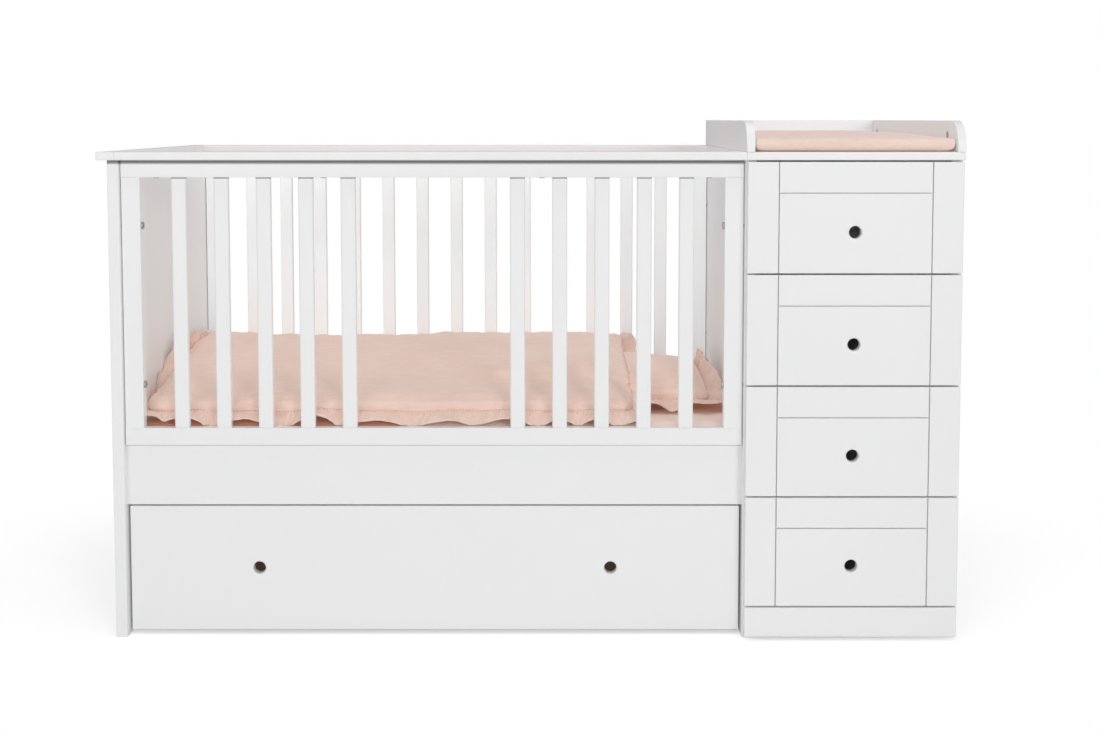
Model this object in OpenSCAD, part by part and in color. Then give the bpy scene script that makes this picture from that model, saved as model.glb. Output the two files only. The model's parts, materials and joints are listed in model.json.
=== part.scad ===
// Crib with an attached chest of drawers and changing tray.
// Millimetres. +Z is up, the front faces -Y, and +X runs from the crib to the drawers.
// The origin is the centre of the footprint, on the floor.

/* [Sleeping space] */
// Length of the mattress
mattress_l = 1200; // [1000:10:1400]
// Width of the mattress
mattress_w = 600; // [500:10:700]
// Thickness of the mattress
mattress_t = 100; // [80:5:120]
// Room between the mattress and each end panel
mattress_end_gap = 5; // [2:1:15]
// Room between the mattress and each slatted side
mattress_side_gap = 3; // [1:1:10]
// Height of the mattress's underside above the floor
base_z = 318; // [300:1:350]

/* [Panels and rim] */
// Height of the end panels
panel_h = 940; // [900:5:1000]
// Thickness of the end panels and of the drawer cabinet's sides
panel_t = 22; // [18:1:28]
// Radius on the panels' long edges
panel_r = 2; // [1:0.5:5]
// Thickness of the rim boards and of the cabinet's top
cap_t = 16; // [12:1:22]
// Radius on the rim boards' edges
cap_r = 3; // [1:0.5:5]
// Width of the rim board over the left end panel
side_cap_w = 36; // [34:1:50]
// How far the rim stands out past the left end panel
cap_over_side = 16; // [8:1:25]
// How far the rim stands out behind the end panels
cap_over_back = 15; // [8:1:25]

/* [Slatted sides] */
// Thickness of the rails and stiles
frame_t = 20; // [16:1:26]
// Setback of the rails from the end panels' edges
frame_recess = 8; // [4:1:15]
// Height of each rail
rail_h = 34; // [28:1:45]
// Radius on the rails' and stiles' edges
rail_r = 1.5; // [0.5:0.5:4]
// Width of each stile
stile_w = 36; // [28:1:45]
// Play between a slatted side and each end panel
frame_end_gap = 2; // [1:0.5:4]
// Height of the bottom rail's underside
bottom_rail_z = 381; // [360:1:400]
// Number of slat places along a side
slat_places = 13; // [11:2:15]
// Number of middle slats that are lifted out of the front
lifted_slats = 3; // [1:2:3]
// Gap between a stile and the slat next to it
slat_end_gap = 59.3; // [50:0.1:65]
// Width of a slat
slat_w = 29; // [20:1:35]
// Thickness of a slat
slat_t = 14; // [10:1:16]
// Radius on a slat's edges
slat_r = 4; // [1:0.5:4.5]
// Setback of the slats from the rails' faces
slat_setback = 3; // [1:0.5:3.5]
// Depth of the mortise that holds each slat's end
mortise_d = 10; // [6:1:14]

/* [Lower crib] */
// Underside of the fascia board
fascia_z = 260.5; // [250:0.5:270]
// Setback of the fascia and the bed drawer from the end panels' edges
fascia_recess = 17; // [10:1:20]
// Thickness of the drawer fronts
front_t = 16; // [14:1:19]
// Underside of the rear board
rear_board_z = 20; // [10:5:60]
// Width of one base slat
base_slat_w = 68; // [50:2:90]
// Thickness of one base slat
base_slat_t = 18; // [12:1:22]
// Radius on a base slat's edges
base_slat_r = 2; // [1:0.5:4]
// Number of base slats
base_slats_n = 12; // [9:1:13]
// Width of the battens that carry the base slats
batten_w = 24; // [18:1:30]
// Height of those battens
batten_h = 34; // [25:1:40]

/* [Drawer cabinet] */
// Clear width between the cabinet's sides
cabinet_inner_w = 376; // [360:2:420]
// Gap between the drawer fronts and the panels' edges
front_gap = 1; // [0.5:0.5:3]
// Gap between neighbouring fronts
drawer_gap = 3; // [2:0.5:5]
// Setback of each front's side from the cabinet's outer face
front_reveal = 2.5; // [1:0.5:5]
// Top of the plinth
plinth_top = 65.5; // [60:0.5:75]
// Underside of the plinth board
plinth_z = 7; // [4:1:12]
// Radius on the fronts' edges
front_r = 2; // [1:0.5:3]
// Thickness of the cabinet's bottom board
cabinet_bottom_t = 16; // [14:1:19]
// Thickness of the cabinet's back
cabinet_back_t = 4; // [3:1:6]
// Distance of the upright grooves from the front's sides
groove_inset = 60; // [50:1:70]
// Distance of the level groove from the front's top
groove_drop = 60; // [50:1:70]
// Width of the grooves
groove_w = 2.5; // [1.5:0.5:4]
// Depth of the grooves
groove_d = 6; // [1.5:0.5:8]
// Radius of the finger holes
hole_r = 12; // [10:0.5:15]
// Radius of the finger holes' rounded rim
hole_rim = 4.5; // [2:0.5:6]
// Height of a finger hole above its front's lower edge
hole_up = 79.5; // [60:0.5:90]

/* [Drawer boxes] */
// Thickness of the drawer boxes' sides
box_side_t = 12; // [10:1:15]
// Height of the cabinet drawers' boxes
box_h = 140; // [110:5:160]
// Length of the cabinet drawers' boxes
box_l = 540; // [450:10:560]
// Height of a box above its front's lower edge
box_up = 22; // [16:1:30]
// Thickness of the drawers' bottoms
box_bottom_t = 4; // [3:1:6]
// Height of the bottom above the box's lower edge
bottom_up = 12; // [8:1:16]
// Depth of the grooves that hold the bottoms
bottom_groove = 6; // [4:1:8]
// Clearance all round a board in its groove or mortise
joint_play = 0.2; // [0.1:0.05:0.4]
// Space taken by one runner between box and cabinet
runner_t = 13; // [12:0.5:15]
// Height of the runners
runner_h = 36; // [30:1:45]
// Length of the runners
runner_l = 500; // [400:10:520]
// Sheet thickness of the runners
runner_sheet = 1.5; // [1:0.25:2]
// Sliding clearance in the runners
runner_play = 0.3; // [0.2:0.1:0.5]
// Height of the runners above the box's lower edge
runner_up = 30; // [20:2:60]
// Setback of the runners from the panels' edges
runner_setback = 2; // [1:0.5:10]

/* [Bed drawer] */
// Underside of the bed drawer's front
bed_front_z = 8.5; // [6:0.5:14]
// Gap between the bed drawer's front and the end panels
bed_front_gap = 4.5; // [3:0.5:8]
// Distance of its finger holes from the middle
bed_hole_x = 347; // [300:1:400]
// Height of its finger holes above its lower edge
bed_hole_up = 124.5; // [100:0.5:140]
// Thickness of its box's sides
bed_side_t = 16; // [12:1:18]
// Height of its box
bed_box_h = 150; // [120:5:170]
// Room between its box and the rear board
bed_box_gap = 41; // [20:1:100]
// Setback of the box's sides from the front's ends
bed_box_inset = 12; // [6:1:20]
// Underside of its box
bed_box_z = 44; // [40:1:55]
// Thickness of its bottom panel
bed_bottom_t = 8; // [6:1:10]
// Radius of the castor wheels
wheel_r = 18; // [15:0.5:20]
// Width of the castor wheels
wheel_w = 16; // [12:1:20]
// Radius of the castors' axles
axle_r = 3; // [2.5:0.5:4]
// Running clearance between axle and wheel
axle_play = 0.05; // [0.03:0.01:0.08]
// Distance of the castors from the box's sides
castor_in = 70; // [50:5:120]
// Distance of the castors from the box's front and back
castor_from_end = 60; // [45:5:120]
// Thickness of the castors' cheeks
cheek_t = 3; // [2:0.5:4]
// Gap between a castor's wheel and its cheeks
hub_gap = 1; // [0.5:0.5:2]
// Length of the castors' plates from front to back
castor_plate_l = 28; // [20:1:40]

/* [Changing tray] */
// Height of the tray's walls
wall_h = 60; // [45:5:90]
// Thickness of the tray's walls
wall_t = 16; // [14:1:19]
// Radius of the walls' front top corner
wall_corner_r = 50; // [30:2:55]
// Radius on the walls' edges
wall_r = 1.5; // [0.5:0.5:3]
// Thickness of the changing pad
pad_t = 36; // [25:1:45]
// Height of the changing pad's seam above its underside
pad_seam_up = 16; // [10:1:20]
// Length of the changing pad from front to back
pad_l = 668; // [560:2:672]
// Room between the pad and each side wall
pad_gap = 3; // [2:1:8]

/* [Fittings] */
// Radius of the frame bolts' heads
bolt_head_r = 7; // [6:0.5:8]
// Thickness of the frame bolts' heads
bolt_head_t = 3.5; // [2:0.5:5]
// Radius of the frame bolts' shanks
bolt_r = 3; // [2.5:0.5:4]
// Length of thread inside the panel
bolt_bite = 14; // [10:1:16]
// Radius of the hexagon socket in the bolt heads
hex_r = 2.5; // [2:0.5:3.5]
// Distance of the upper frame bolts below the panel's top
bolt_high_drop = 128; // [100:2:150]
// Height of the lower frame bolts above the bottom rail
bolt_low_up = 85; // [60:1:110]
// Radius of the cap screws' heads
screw_head_r = 5.5; // [4:0.5:7]
// Thickness of the cap screws' heads
screw_head_t = 1.5; // [1:0.25:2.5]
// Radius of the cap screws' shanks
screw_r = 2; // [1.5:0.25:2.5]
// Offset of the inner cap screws from midway between two slats
screw_off = 6.5; // [0:0.5:10]
// Length of screw inside the cap
screw_bite = 10; // [6:1:12]
// Radius of the cam fittings
cam_r = 7.5; // [6:0.5:9]
// Depth of the cam fittings
cam_d = 12; // [9:0.5:13]
// Height of the cams above the cabinet's top
cam_up = 32; // [25:1:36]
// Distance of the front cams from the tray's front
cam_front = 72; // [60:1:90]
// Distance of the rear cams from the tray's front
cam_rear = 640; // [600:2:660]

/* [Bedding] */
// Length of the duvet along the mattress
duvet_l = 1026; // [900:2:1060]
// Height of the duvet at its front seam
duvet_front_h = 40; // [30:1:50]
// Greatest height of the duvet above the mattress
duvet_h = 104; // [90:1:110]
// Room between the duvet and the left end panel
duvet_end_gap = 4; // [2:1:20]
// Room between the duvet and the slatted back
duvet_back_gap = 12; // [4:1:40]
// Depth of the gathered edge
ruffle = 38; // [25:1:45]
// Number of gathers along the front
gathers = 17; // [12:1:18]
// Length of the pillow
pillow_l = 590; // [450:10:600]
// Width of the pillow
pillow_w = 400; // [350:10:420]
// Thickness of the pillow at its crown
pillow_t = 73; // [50:1:80]
// Height of the pillow's seam above the mattress
pillow_seam_up = 18; // [10:1:22]
// Room between the pillow and the shared panel
pillow_end_gap = 34; // [20:1:50]
// How far the pillow lies forward of the mattress's middle
pillow_forward = 20; // [0:5:60]
// Thickness of a gathered edge
ruffle_t = 3; // [2:0.5:5]
// Height of the waves in the pillow's gathered edge
ruffle_wave = 5; // [2:0.5:6]
// Clearance between soft pieces and what they touch
soft_gap = 0.4; // [0.3:0.05:0.8]

/* [Hidden] */
$fn = 48;

// How far a cut runs past the face that it opens
cut = 1;

// Widths and depths that follow from the sizes above
crib_inner_l = mattress_l + 2 * mattress_end_gap;
crib_inner_w = mattress_w + 2 * mattress_side_gap;
cap_over_front = front_gap + front_t;
panel_d = crib_inner_w + 2 * frame_t + 2 * frame_recess;
total_w = cap_over_side + 3 * panel_t + crib_inner_l + cabinet_inner_w;
total_d = cap_over_front + panel_d + cap_over_back;

// X of the upright boards' faces, from left to right
x_tip = -total_w / 2;
x_left = x_tip + cap_over_side;
x_crib_0 = x_left + panel_t;
x_crib_1 = x_crib_0 + crib_inner_l;
x_cab_0 = x_crib_1 + panel_t;
x_cab_1 = x_cab_0 + cabinet_inner_w;
x_right = x_cab_1 + panel_t;
x_crib_mid = (x_crib_0 + x_crib_1) / 2;

// Y of the main planes, from front to back
y_front = -total_d / 2;
y_panel_0 = y_front + cap_over_front;
y_panel_1 = y_panel_0 + panel_d;
y_back = y_panel_1 + cap_over_back;
y_frame_0 = y_panel_0 + frame_recess;
y_bed_0 = y_frame_0 + frame_t;
y_bed_1 = y_bed_0 + crib_inner_w;
y_bed_mid = (y_bed_0 + y_bed_1) / 2;
y_fascia = y_panel_0 + fascia_recess;
fascia_t = frame_recess + frame_t - fascia_recess;
y_front_slats = y_frame_0 + slat_setback;
y_back_slats = y_bed_1 + frame_t - slat_setback - slat_t;

// Z of the main levels
z_rim = panel_h + cap_t;
z_wall = z_rim + wall_h;
z_top_rail = panel_h - rail_h;
z_slat_0 = bottom_rail_z + rail_h;
z_mattress = base_z + mattress_t;
z_bolts = [bottom_rail_z + bolt_low_up + rail_h, panel_h - bolt_high_drop];

// Slatted sides
frame_l = crib_inner_l - 2 * frame_end_gap;
x_frame_0 = x_crib_0 + frame_end_gap;
x_frame_1 = x_frame_0 + frame_l;
slat_last = (slat_places - 1) / 2;
lifted_last = (lifted_slats - 1) / 2;
slat_pitch = (frame_l - 2 * stile_w - 2 * slat_end_gap - slat_w) / (slat_places - 1);
screw_in = 2.5 * slat_pitch + screw_off;
screw_out = slat_last * slat_pitch + (slat_w + slat_end_gap) / 2;
bolt_hole_r = bolt_r + 2 * joint_play;
screw_hole_r = screw_r + 2 * joint_play;

// Drawer fronts of the cabinet, one node set for each of its drawers
drawers_n = 4;
front_w = x_right - (x_cab_0 - panel_t) - 2 * front_reveal;
x_front = x_cab_0 - panel_t + front_reveal;
front_h = (panel_h - plinth_top - (drawers_n + 1) * drawer_gap) / drawers_n;
front_pitch = front_h + drawer_gap;
y_front_back = y_front + front_t;
box_w = cabinet_inner_w - 2 * runner_t;
x_box = x_cab_0 + runner_t;
y_runner = y_panel_0 + runner_setback;

// Bed drawer
bed_front_l = crib_inner_l - 2 * bed_front_gap;
bed_front_h = fascia_z - drawer_gap - bed_front_z;
x_bed_front = x_crib_0 + bed_front_gap;
y_bed_box = y_fascia + front_t;
bed_box_l = y_bed_1 - bed_box_gap - y_bed_box;
bed_box_w = bed_front_l - 2 * bed_box_inset;
x_bed_box = x_bed_front + bed_box_inset;
castor_x = [x_bed_box + castor_in, x_bed_box + bed_box_w - castor_in];
castor_y = [y_bed_box + castor_from_end, y_bed_box + bed_box_l - castor_from_end];
cheek_in = wheel_w / 2 + hub_gap;

// Colours
lacquer = [0.93, 0.93, 0.93];
board_inside = [0.86, 0.86, 0.85];
timber = [0.83, 0.71, 0.53];
steel = [0.66, 0.67, 0.69];
dark_plastic = [0.17, 0.17, 0.18];
linen = [0.86, 0.73, 0.68];

// ---- shapes ----

// Rectangle with round corners, from its lower left corner
module round_rect(w, h, r) {
    union() {
        translate([r, 0]) square([w - 2 * r, h]);
        translate([0, r]) square([w, h - 2 * r]);
        for (x = [r, w - r], y = [r, h - r]) {
            translate([x, y]) circle(r);
        }
    }
}

// Boards at p with size s, whose four edges along one axis are rounded
module board_x(p, s, r) {
    translate(p) rotate([90, 0, 90]) linear_extrude(s.x) round_rect(s.y, s.z, r);
}

module board_y(p, s, r) {
    translate([p.x, p.y + s.y, p.z]) rotate([90, 0, 0]) linear_extrude(s.y) round_rect(s.x, s.z, r);
}

module board_z(p, s, r) {
    translate(p) linear_extrude(s.z) round_rect(s.x, s.y, r);
}

// Board at p with size s and every edge rounded
module eased_board(p, s, r) {
    intersection() {
        board_x(p, s, r);
        board_y(p, s, r);
        board_z(p, s, r);
    }
}

module plain_board(p, s) {
    translate(p) cube(s);
}

// Cylinders along X and along Y, from p
module rod_x(p, r, l) {
    translate(p) rotate([0, 90, 0]) cylinder(r = r, h = l);
}

module rod_y(p, r, l) {
    translate(p) rotate([-90, 0, 0]) cylinder(r = r, h = l);
}

// What a finger hole removes from a board whose face is at y, with a rounded rim
module finger_hole(x, y, z) {
    rod_y([x, y - cut, z], hole_r, front_t + 2 * cut);
    translate([x, y, z]) rotate([-90, 0, 0]) rotate_extrude() {
        difference() {
            square([hole_r + hole_rim, hole_rim]);
            translate([hole_r + hole_rim, hole_rim]) circle(hole_rim);
        }
    }
}

// What an upright and a level groove remove from a face at y
module groove_z(x, y, z, l) {
    translate([x - groove_w / 2, y - cut, z]) cube([groove_w, groove_d + cut, l]);
}

module groove_x(x, y, z, l) {
    translate([x, y - cut, z - groove_w / 2]) cube([l, groove_d + cut, groove_w]);
}

// ---- soft shapes: a grid of nx by ny cells over [0, 1] x [0, 1], with a top and an underside ----

function grid_points(nx, ny, f) = [for (j = [0:ny]) for (i = [0:nx]) f(i / nx, j / ny)];

function grid_faces(nx, ny) =
    let (n = (nx + 1) * (ny + 1), at = function(i, j) j * (nx + 1) + i)
    concat(
        [for (j = [0:ny - 1]) for (i = [0:nx - 1]) each [
            [at(i, j), at(i, j + 1), at(i + 1, j + 1)],
            [at(i, j), at(i + 1, j + 1), at(i + 1, j)],
            [n + at(i, j), n + at(i + 1, j + 1), n + at(i, j + 1)],
            [n + at(i, j), n + at(i + 1, j), n + at(i + 1, j + 1)]]],
        [for (i = [0:nx - 1]) each [
            [at(i, 0), at(i + 1, 0), n + at(i + 1, 0)],
            [at(i, 0), n + at(i + 1, 0), n + at(i, 0)],
            [at(i + 1, ny), at(i, ny), n + at(i, ny)],
            [at(i + 1, ny), n + at(i, ny), n + at(i + 1, ny)]]],
        [for (j = [0:ny - 1]) each [
            [at(0, j + 1), at(0, j), n + at(0, j)],
            [at(0, j + 1), n + at(0, j), n + at(0, j + 1)],
            [at(nx, j), at(nx, j + 1), n + at(nx, j + 1)],
            [at(nx, j), n + at(nx, j + 1), n + at(nx, j)]]]);

module soft_solid(nx, ny, top, under) {
    points = concat(grid_points(nx, ny, top), grid_points(nx, ny, under));
    polyhedron(points, grid_faces(nx, ny), convexity = 6);
}

// Runs from -1 to 1 with its steps crowded towards both ends
function crowd(t) = -cos(180 * t);

// Falls from 1 in the middle to 0 at both ends, the squarer the larger p
function swell(c, p) = pow(max(0, 1 - pow(abs(c), p)), 1 / p);

// Goes smoothly from 0 to 1 as t goes from a to b
function blend(t, a, b) = let (s = min(1, max(0, (t - a) / (b - a)))) s * s * (3 - 2 * s);

// ---- upright panels ----

module side_panel(x) {
    board_z([x, y_panel_0, 0], [panel_t, panel_d, panel_h], panel_r);
}

// Holes that the frame bolts screw into, in a panel face at x
module bolt_seats(x) {
    for (y = [y_frame_0 + frame_t / 2, y_bed_1 + frame_t / 2], z = z_bolts) {
        rod_x([x, y, z], bolt_hole_r, bolt_bite + cut);
    }
}

module left_end_panel() {
    color(lacquer) difference() {
        side_panel(x_left);
        bolt_seats(x_crib_0 - bolt_bite);
    }
}

module shared_side_panel() {
    color(lacquer) difference() {
        side_panel(x_crib_1);
        bolt_seats(x_crib_1 - cut);
    }
}

module right_side_panel() {
    color(lacquer) side_panel(x_cab_1);
}

// ---- rim ----

module screw_bites(y) {
    for (d = [-screw_out, -screw_in, screw_in, screw_out]) {
        translate([x_crib_mid + d, y, panel_h - cut]) cylinder(r = screw_hole_r, h = screw_bite + 2 * cut);
    }
}

module cap_left() {
    color(lacquer) eased_board([x_tip, y_front, panel_h], [side_cap_w, total_d, cap_t], cap_r);
}

module cap_front() {
    color(lacquer) difference() {
        board_x([x_tip + side_cap_w, y_front, panel_h],
            [x_crib_1 - x_tip - side_cap_w, cap_over_front + frame_recess + frame_t, cap_t], cap_r);
        screw_bites(y_frame_0 + frame_t / 2);
    }
}

module cap_back() {
    color(lacquer) difference() {
        board_x([x_tip + side_cap_w, y_bed_1, panel_h],
            [x_crib_1 - x_tip - side_cap_w, cap_over_back + frame_recess + frame_t, cap_t], cap_r);
        screw_bites(y_bed_1 + frame_t / 2);
    }
}

module cap_screws() {
    color(steel) for (d = [-screw_out, -screw_in, screw_in, screw_out], y = [y_frame_0, y_bed_1]) {
        translate([x_crib_mid + d, y + frame_t / 2, z_top_rail]) {
            translate([0, 0, -screw_head_t]) cylinder(r = screw_head_r, h = screw_head_t);
            cylinder(r = screw_r, h = rail_h + screw_bite);
        }
    }
}

// ---- slatted sides ----

function is_lifted(k) = abs(k) <= lifted_last;

// Mortise or slat number k, counted from the middle, in a side whose first rail face is at y
module slat_bar(k, y, z, h, play) {
    board_z([x_crib_mid + k * slat_pitch - slat_w / 2 - play, y - play, z],
        [slat_w + 2 * play, slat_t + 2 * play, h], slat_r);
}

module slat_row(from, to, y) {
    for (k = [from:to]) {
        slat_bar(k, y, z_slat_0 - mortise_d, z_top_rail - z_slat_0 + 2 * mortise_d, 0);
    }
}

module mortises(y, z, skip_lifted) {
    for (k = [-slat_last:slat_last]) {
        if (!skip_lifted || !is_lifted(k)) {
            slat_bar(k, y, z, mortise_d + cut, joint_play);
        }
    }
}

module rail(y, z) {
    board_x([x_frame_0, y, z], [frame_l, frame_t, rail_h], rail_r);
}

module screw_holes(y) {
    for (d = [-screw_out, -screw_in, screw_in, screw_out]) {
        translate([x_crib_mid + d, y, z_top_rail - cut]) cylinder(r = screw_hole_r, h = rail_h + 2 * cut);
    }
}

module front_top_rail() {
    color(lacquer) difference() {
        rail(y_frame_0, z_top_rail);
        mortises(y_front_slats, z_top_rail - cut, true);
        screw_holes(y_frame_0 + frame_t / 2);
    }
}

module front_bottom_rail() {
    color(lacquer) difference() {
        rail(y_frame_0, bottom_rail_z);
        mortises(y_front_slats, z_slat_0 - mortise_d, true);
    }
}

module back_top_rail() {
    color(lacquer) difference() {
        rail(y_bed_1, z_top_rail);
        mortises(y_back_slats, z_top_rail - cut, false);
        screw_holes(y_bed_1 + frame_t / 2);
    }
}

module back_bottom_rail() {
    color(lacquer) difference() {
        rail(y_bed_1, bottom_rail_z);
        mortises(y_back_slats, z_slat_0 - mortise_d, false);
    }
}

module stile(x, y) {
    difference() {
        board_z([x, y, z_slat_0], [stile_w, frame_t, z_top_rail - z_slat_0], rail_r);
        for (z = z_bolts) {
            rod_x([x - cut, y + frame_t / 2, z], bolt_hole_r, stile_w + 2 * cut);
        }
    }
}

module front_stile_left() {
    color(lacquer) stile(x_frame_0, y_frame_0);
}

module front_stile_right() {
    color(lacquer) stile(x_frame_1 - stile_w, y_frame_0);
}

module back_stiles() {
    color(lacquer) for (x = [x_frame_0, x_frame_1 - stile_w]) {
        stile(x, y_bed_1);
    }
}

module front_slats_left() {
    color(lacquer) slat_row(-slat_last, -lifted_last - 1, y_front_slats);
}

module front_slats_right() {
    color(lacquer) slat_row(lifted_last + 1, slat_last, y_front_slats);
}

module back_slats() {
    color(lacquer) slat_row(-slat_last, slat_last, y_back_slats);
}

// One bolt with its head against the stile's inner edge at x, pointing to dir
module frame_bolt(x, y, z, dir) {
    translate([x, y, z]) rotate([0, 90 * dir, 0]) {
        difference() {
            translate([0, 0, -bolt_head_t]) cylinder(r = bolt_head_r, h = bolt_head_t);
            translate([0, 0, -bolt_head_t - cut]) cylinder(r = hex_r, h = bolt_head_t, $fn = 6);
        }
        cylinder(r = bolt_r, h = stile_w + frame_end_gap + bolt_bite);
    }
}

module frame_bolts() {
    color(steel) for (y = [y_frame_0 + frame_t / 2, y_bed_1 + frame_t / 2], z = z_bolts) {
        frame_bolt(x_frame_0 + stile_w, y, z, -1);
        frame_bolt(x_frame_1 - stile_w, y, z, 1);
    }
}

// ---- lower crib ----

module front_fascia() {
    color(lacquer) board_x([x_crib_0, y_fascia, fascia_z],
        [crib_inner_l, fascia_t, bottom_rail_z - fascia_z], rail_r);
}

module rear_board() {
    color(lacquer) board_x([x_crib_0, y_bed_1, rear_board_z],
        [crib_inner_l, fascia_t, bottom_rail_z - rear_board_z], rail_r);
}

module base_battens() {
    color(timber) for (y = [y_bed_0, y_bed_1 - batten_w]) {
        plain_board([x_crib_0, y, base_z - base_slat_t - batten_h], [crib_inner_l, batten_w, batten_h]);
    }
}

module base_slats() {
    step = (crib_inner_l - base_slat_w) / base_slats_n;
    color(timber) for (k = [0:base_slats_n - 1]) {
        board_y([x_crib_0 + step * (k + 0.5), y_bed_0, base_z - base_slat_t],
            [base_slat_w, crib_inner_w, base_slat_t], base_slat_r);
    }
}

// ---- drawer cabinet ----

module cabinet_top() {
    color(lacquer) eased_board([x_crib_1, y_front, panel_h], [x_right - x_crib_1, total_d, cap_t], cap_r);
}

module cabinet_bottom() {
    color(board_inside) plain_board([x_cab_0, y_panel_0, plinth_top - cabinet_bottom_t],
        [cabinet_inner_w, panel_d - cabinet_back_t, cabinet_bottom_t]);
}

module cabinet_back() {
    color(board_inside) plain_board([x_cab_0, y_panel_1 - cabinet_back_t, plinth_top - cabinet_bottom_t],
        [cabinet_inner_w, cabinet_back_t, panel_h - plinth_top + cabinet_bottom_t]);
}

module plinth() {
    color(lacquer) eased_board([x_front, y_front, plinth_z],
        [front_w, cap_over_front, plinth_top - plinth_z], front_r);
}

function z_of_front(n) = panel_h - n * front_pitch;
function z_of_box(n) = z_of_front(n) + box_up;

// Outer channel of a runner, on a cabinet side at x, opening towards dir
module outer_channel(x, dir, z) {
    d = runner_t - runner_sheet - runner_play;
    translate([x, y_runner, z]) scale([dir, 1, 1]) {
        cube([runner_sheet, runner_l, runner_h]);
        for (up = [0, runner_h - runner_sheet]) {
            translate([0, 0, up]) cube([d, runner_l, runner_sheet]);
        }
    }
}

// Inner channel, on a box side at x, opening towards dir
module inner_channel(x, dir, z) {
    d = runner_t - runner_sheet - runner_play;
    lift = runner_sheet + runner_play;
    translate([x, y_runner, z + lift]) scale([dir, 1, 1]) {
        cube([runner_sheet, runner_l, runner_h - 2 * lift]);
        for (up = [0, runner_h - 2 * lift - runner_sheet]) {
            translate([0, 0, up]) cube([d, runner_l, runner_sheet]);
        }
    }
}

module cabinet_runners() {
    color(steel) for (n = [1:drawers_n]) {
        outer_channel(x_cab_0, 1, z_of_box(n) + runner_up);
        outer_channel(x_cab_1, -1, z_of_box(n) + runner_up);
    }
}

module drawer_front(n) {
    z = z_of_front(n);
    color(lacquer) difference() {
        eased_board([x_front, y_front, z], [front_w, front_t, front_h], front_r);
        groove_z(x_front + groove_inset, y_front, z - cut, front_h + 2 * cut);
        groove_z(x_front + front_w - groove_inset, y_front, z - cut, front_h + 2 * cut);
        groove_x(x_front + groove_inset, y_front, z + front_h - groove_drop, front_w - 2 * groove_inset);
        finger_hole(x_front + front_w / 2, y_front, z + hole_up);
    }
}

// Two sides with a back between them, all grooved for the bottom
module open_box(p, w, l, h, side, bottom_t) {
    difference() {
        union() {
            plain_board(p, [side, l, h]);
            plain_board([p.x + w - side, p.y, p.z], [side, l, h]);
            plain_board([p.x + side + joint_play, p.y + l - side, p.z],
                [w - 2 * side - 2 * joint_play, side, h]);
        }
        box_groove(p, w, l, side, bottom_t);
    }
}

// Groove for a bottom panel, bottom_groove deep in the sides and the back
module box_groove(p, w, l, side, bottom_t) {
    translate([p.x + side - bottom_groove - joint_play, p.y - cut, p.z + bottom_up - joint_play])
        cube([w - 2 * side + 2 * bottom_groove + 2 * joint_play, l - side + bottom_groove + joint_play + cut,
            bottom_t + 2 * joint_play]);
}

module box_bottom(p, w, l, side, bottom_t) {
    plain_board([p.x + side - bottom_groove, p.y, p.z + bottom_up],
        [w - 2 * side + 2 * bottom_groove, l - side + bottom_groove, bottom_t]);
}

module drawer_box(n) {
    color(board_inside) open_box([x_box, y_front_back, z_of_box(n)],
        box_w, box_l, box_h, box_side_t, box_bottom_t);
}

module drawer_bottom(n) {
    color(board_inside) box_bottom([x_box, y_front_back, z_of_box(n)],
        box_w, box_l, box_side_t, box_bottom_t);
}

module drawer_runners(n) {
    color(steel) {
        inner_channel(x_box, -1, z_of_box(n) + runner_up);
        inner_channel(x_box + box_w, 1, z_of_box(n) + runner_up);
    }
}

// ---- bed drawer ----

module bed_drawer_front() {
    color(lacquer) difference() {
        eased_board([x_bed_front, y_fascia, bed_front_z], [bed_front_l, front_t, bed_front_h], front_r);
        for (d = [-bed_hole_x, bed_hole_x]) {
            finger_hole(x_crib_mid + d, y_fascia, bed_front_z + bed_hole_up);
        }
    }
}

module bed_drawer_box() {
    color(board_inside) open_box([x_bed_box, y_bed_box, bed_box_z],
        bed_box_w, bed_box_l, bed_box_h, bed_side_t, bed_bottom_t);
}

module bed_drawer_bottom() {
    color(board_inside) box_bottom([x_bed_box, y_bed_box, bed_box_z],
        bed_box_w, bed_box_l, bed_side_t, bed_bottom_t);
}

// A plate under the drawer's bottom with two cheeks that hold the axle
module castor_housing(x, y) {
    z_plate = bed_box_z + bottom_up;
    cheek_z = wheel_r - 2 * axle_r;
    cheek_l = castor_plate_l / 2;
    difference() {
        union() {
            plain_board([x - cheek_in - cheek_t, y - castor_plate_l / 2, z_plate - cheek_t],
                [2 * (cheek_in + cheek_t), castor_plate_l, cheek_t]);
            for (side = [-cheek_in - cheek_t, cheek_in]) {
                plain_board([x + side, y - cheek_l / 2, cheek_z], [cheek_t, cheek_l, z_plate - cheek_z]);
            }
        }
        rod_x([x - 2 * wheel_w, y, wheel_r], axle_r, 4 * wheel_w);
    }
}

module castor_housings() {
    color(dark_plastic) for (x = castor_x, y = castor_y) {
        castor_housing(x, y);
    }
}

module castor_axles() {
    color(steel) for (x = castor_x, y = castor_y) {
        rod_x([x - cheek_in - cheek_t, y, wheel_r], axle_r, 2 * (cheek_in + cheek_t));
    }
}

module castor_wheel(x, y) {
    translate([x - wheel_w / 2, y, wheel_r]) rotate([0, 90, 0]) difference() {
        cylinder(r = wheel_r, h = wheel_w);
        translate([0, 0, -cut]) cylinder(r = axle_r + axle_play, h = wheel_w + 2 * cut);
    }
}

module castor_wheels_front() {
    color(dark_plastic) for (x = castor_x) {
        castor_wheel(x, castor_y[0]);
    }
}

module castor_wheels_rear() {
    color(dark_plastic) for (x = castor_x) {
        castor_wheel(x, castor_y[1]);
    }
}

// ---- changing tray ----

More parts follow.
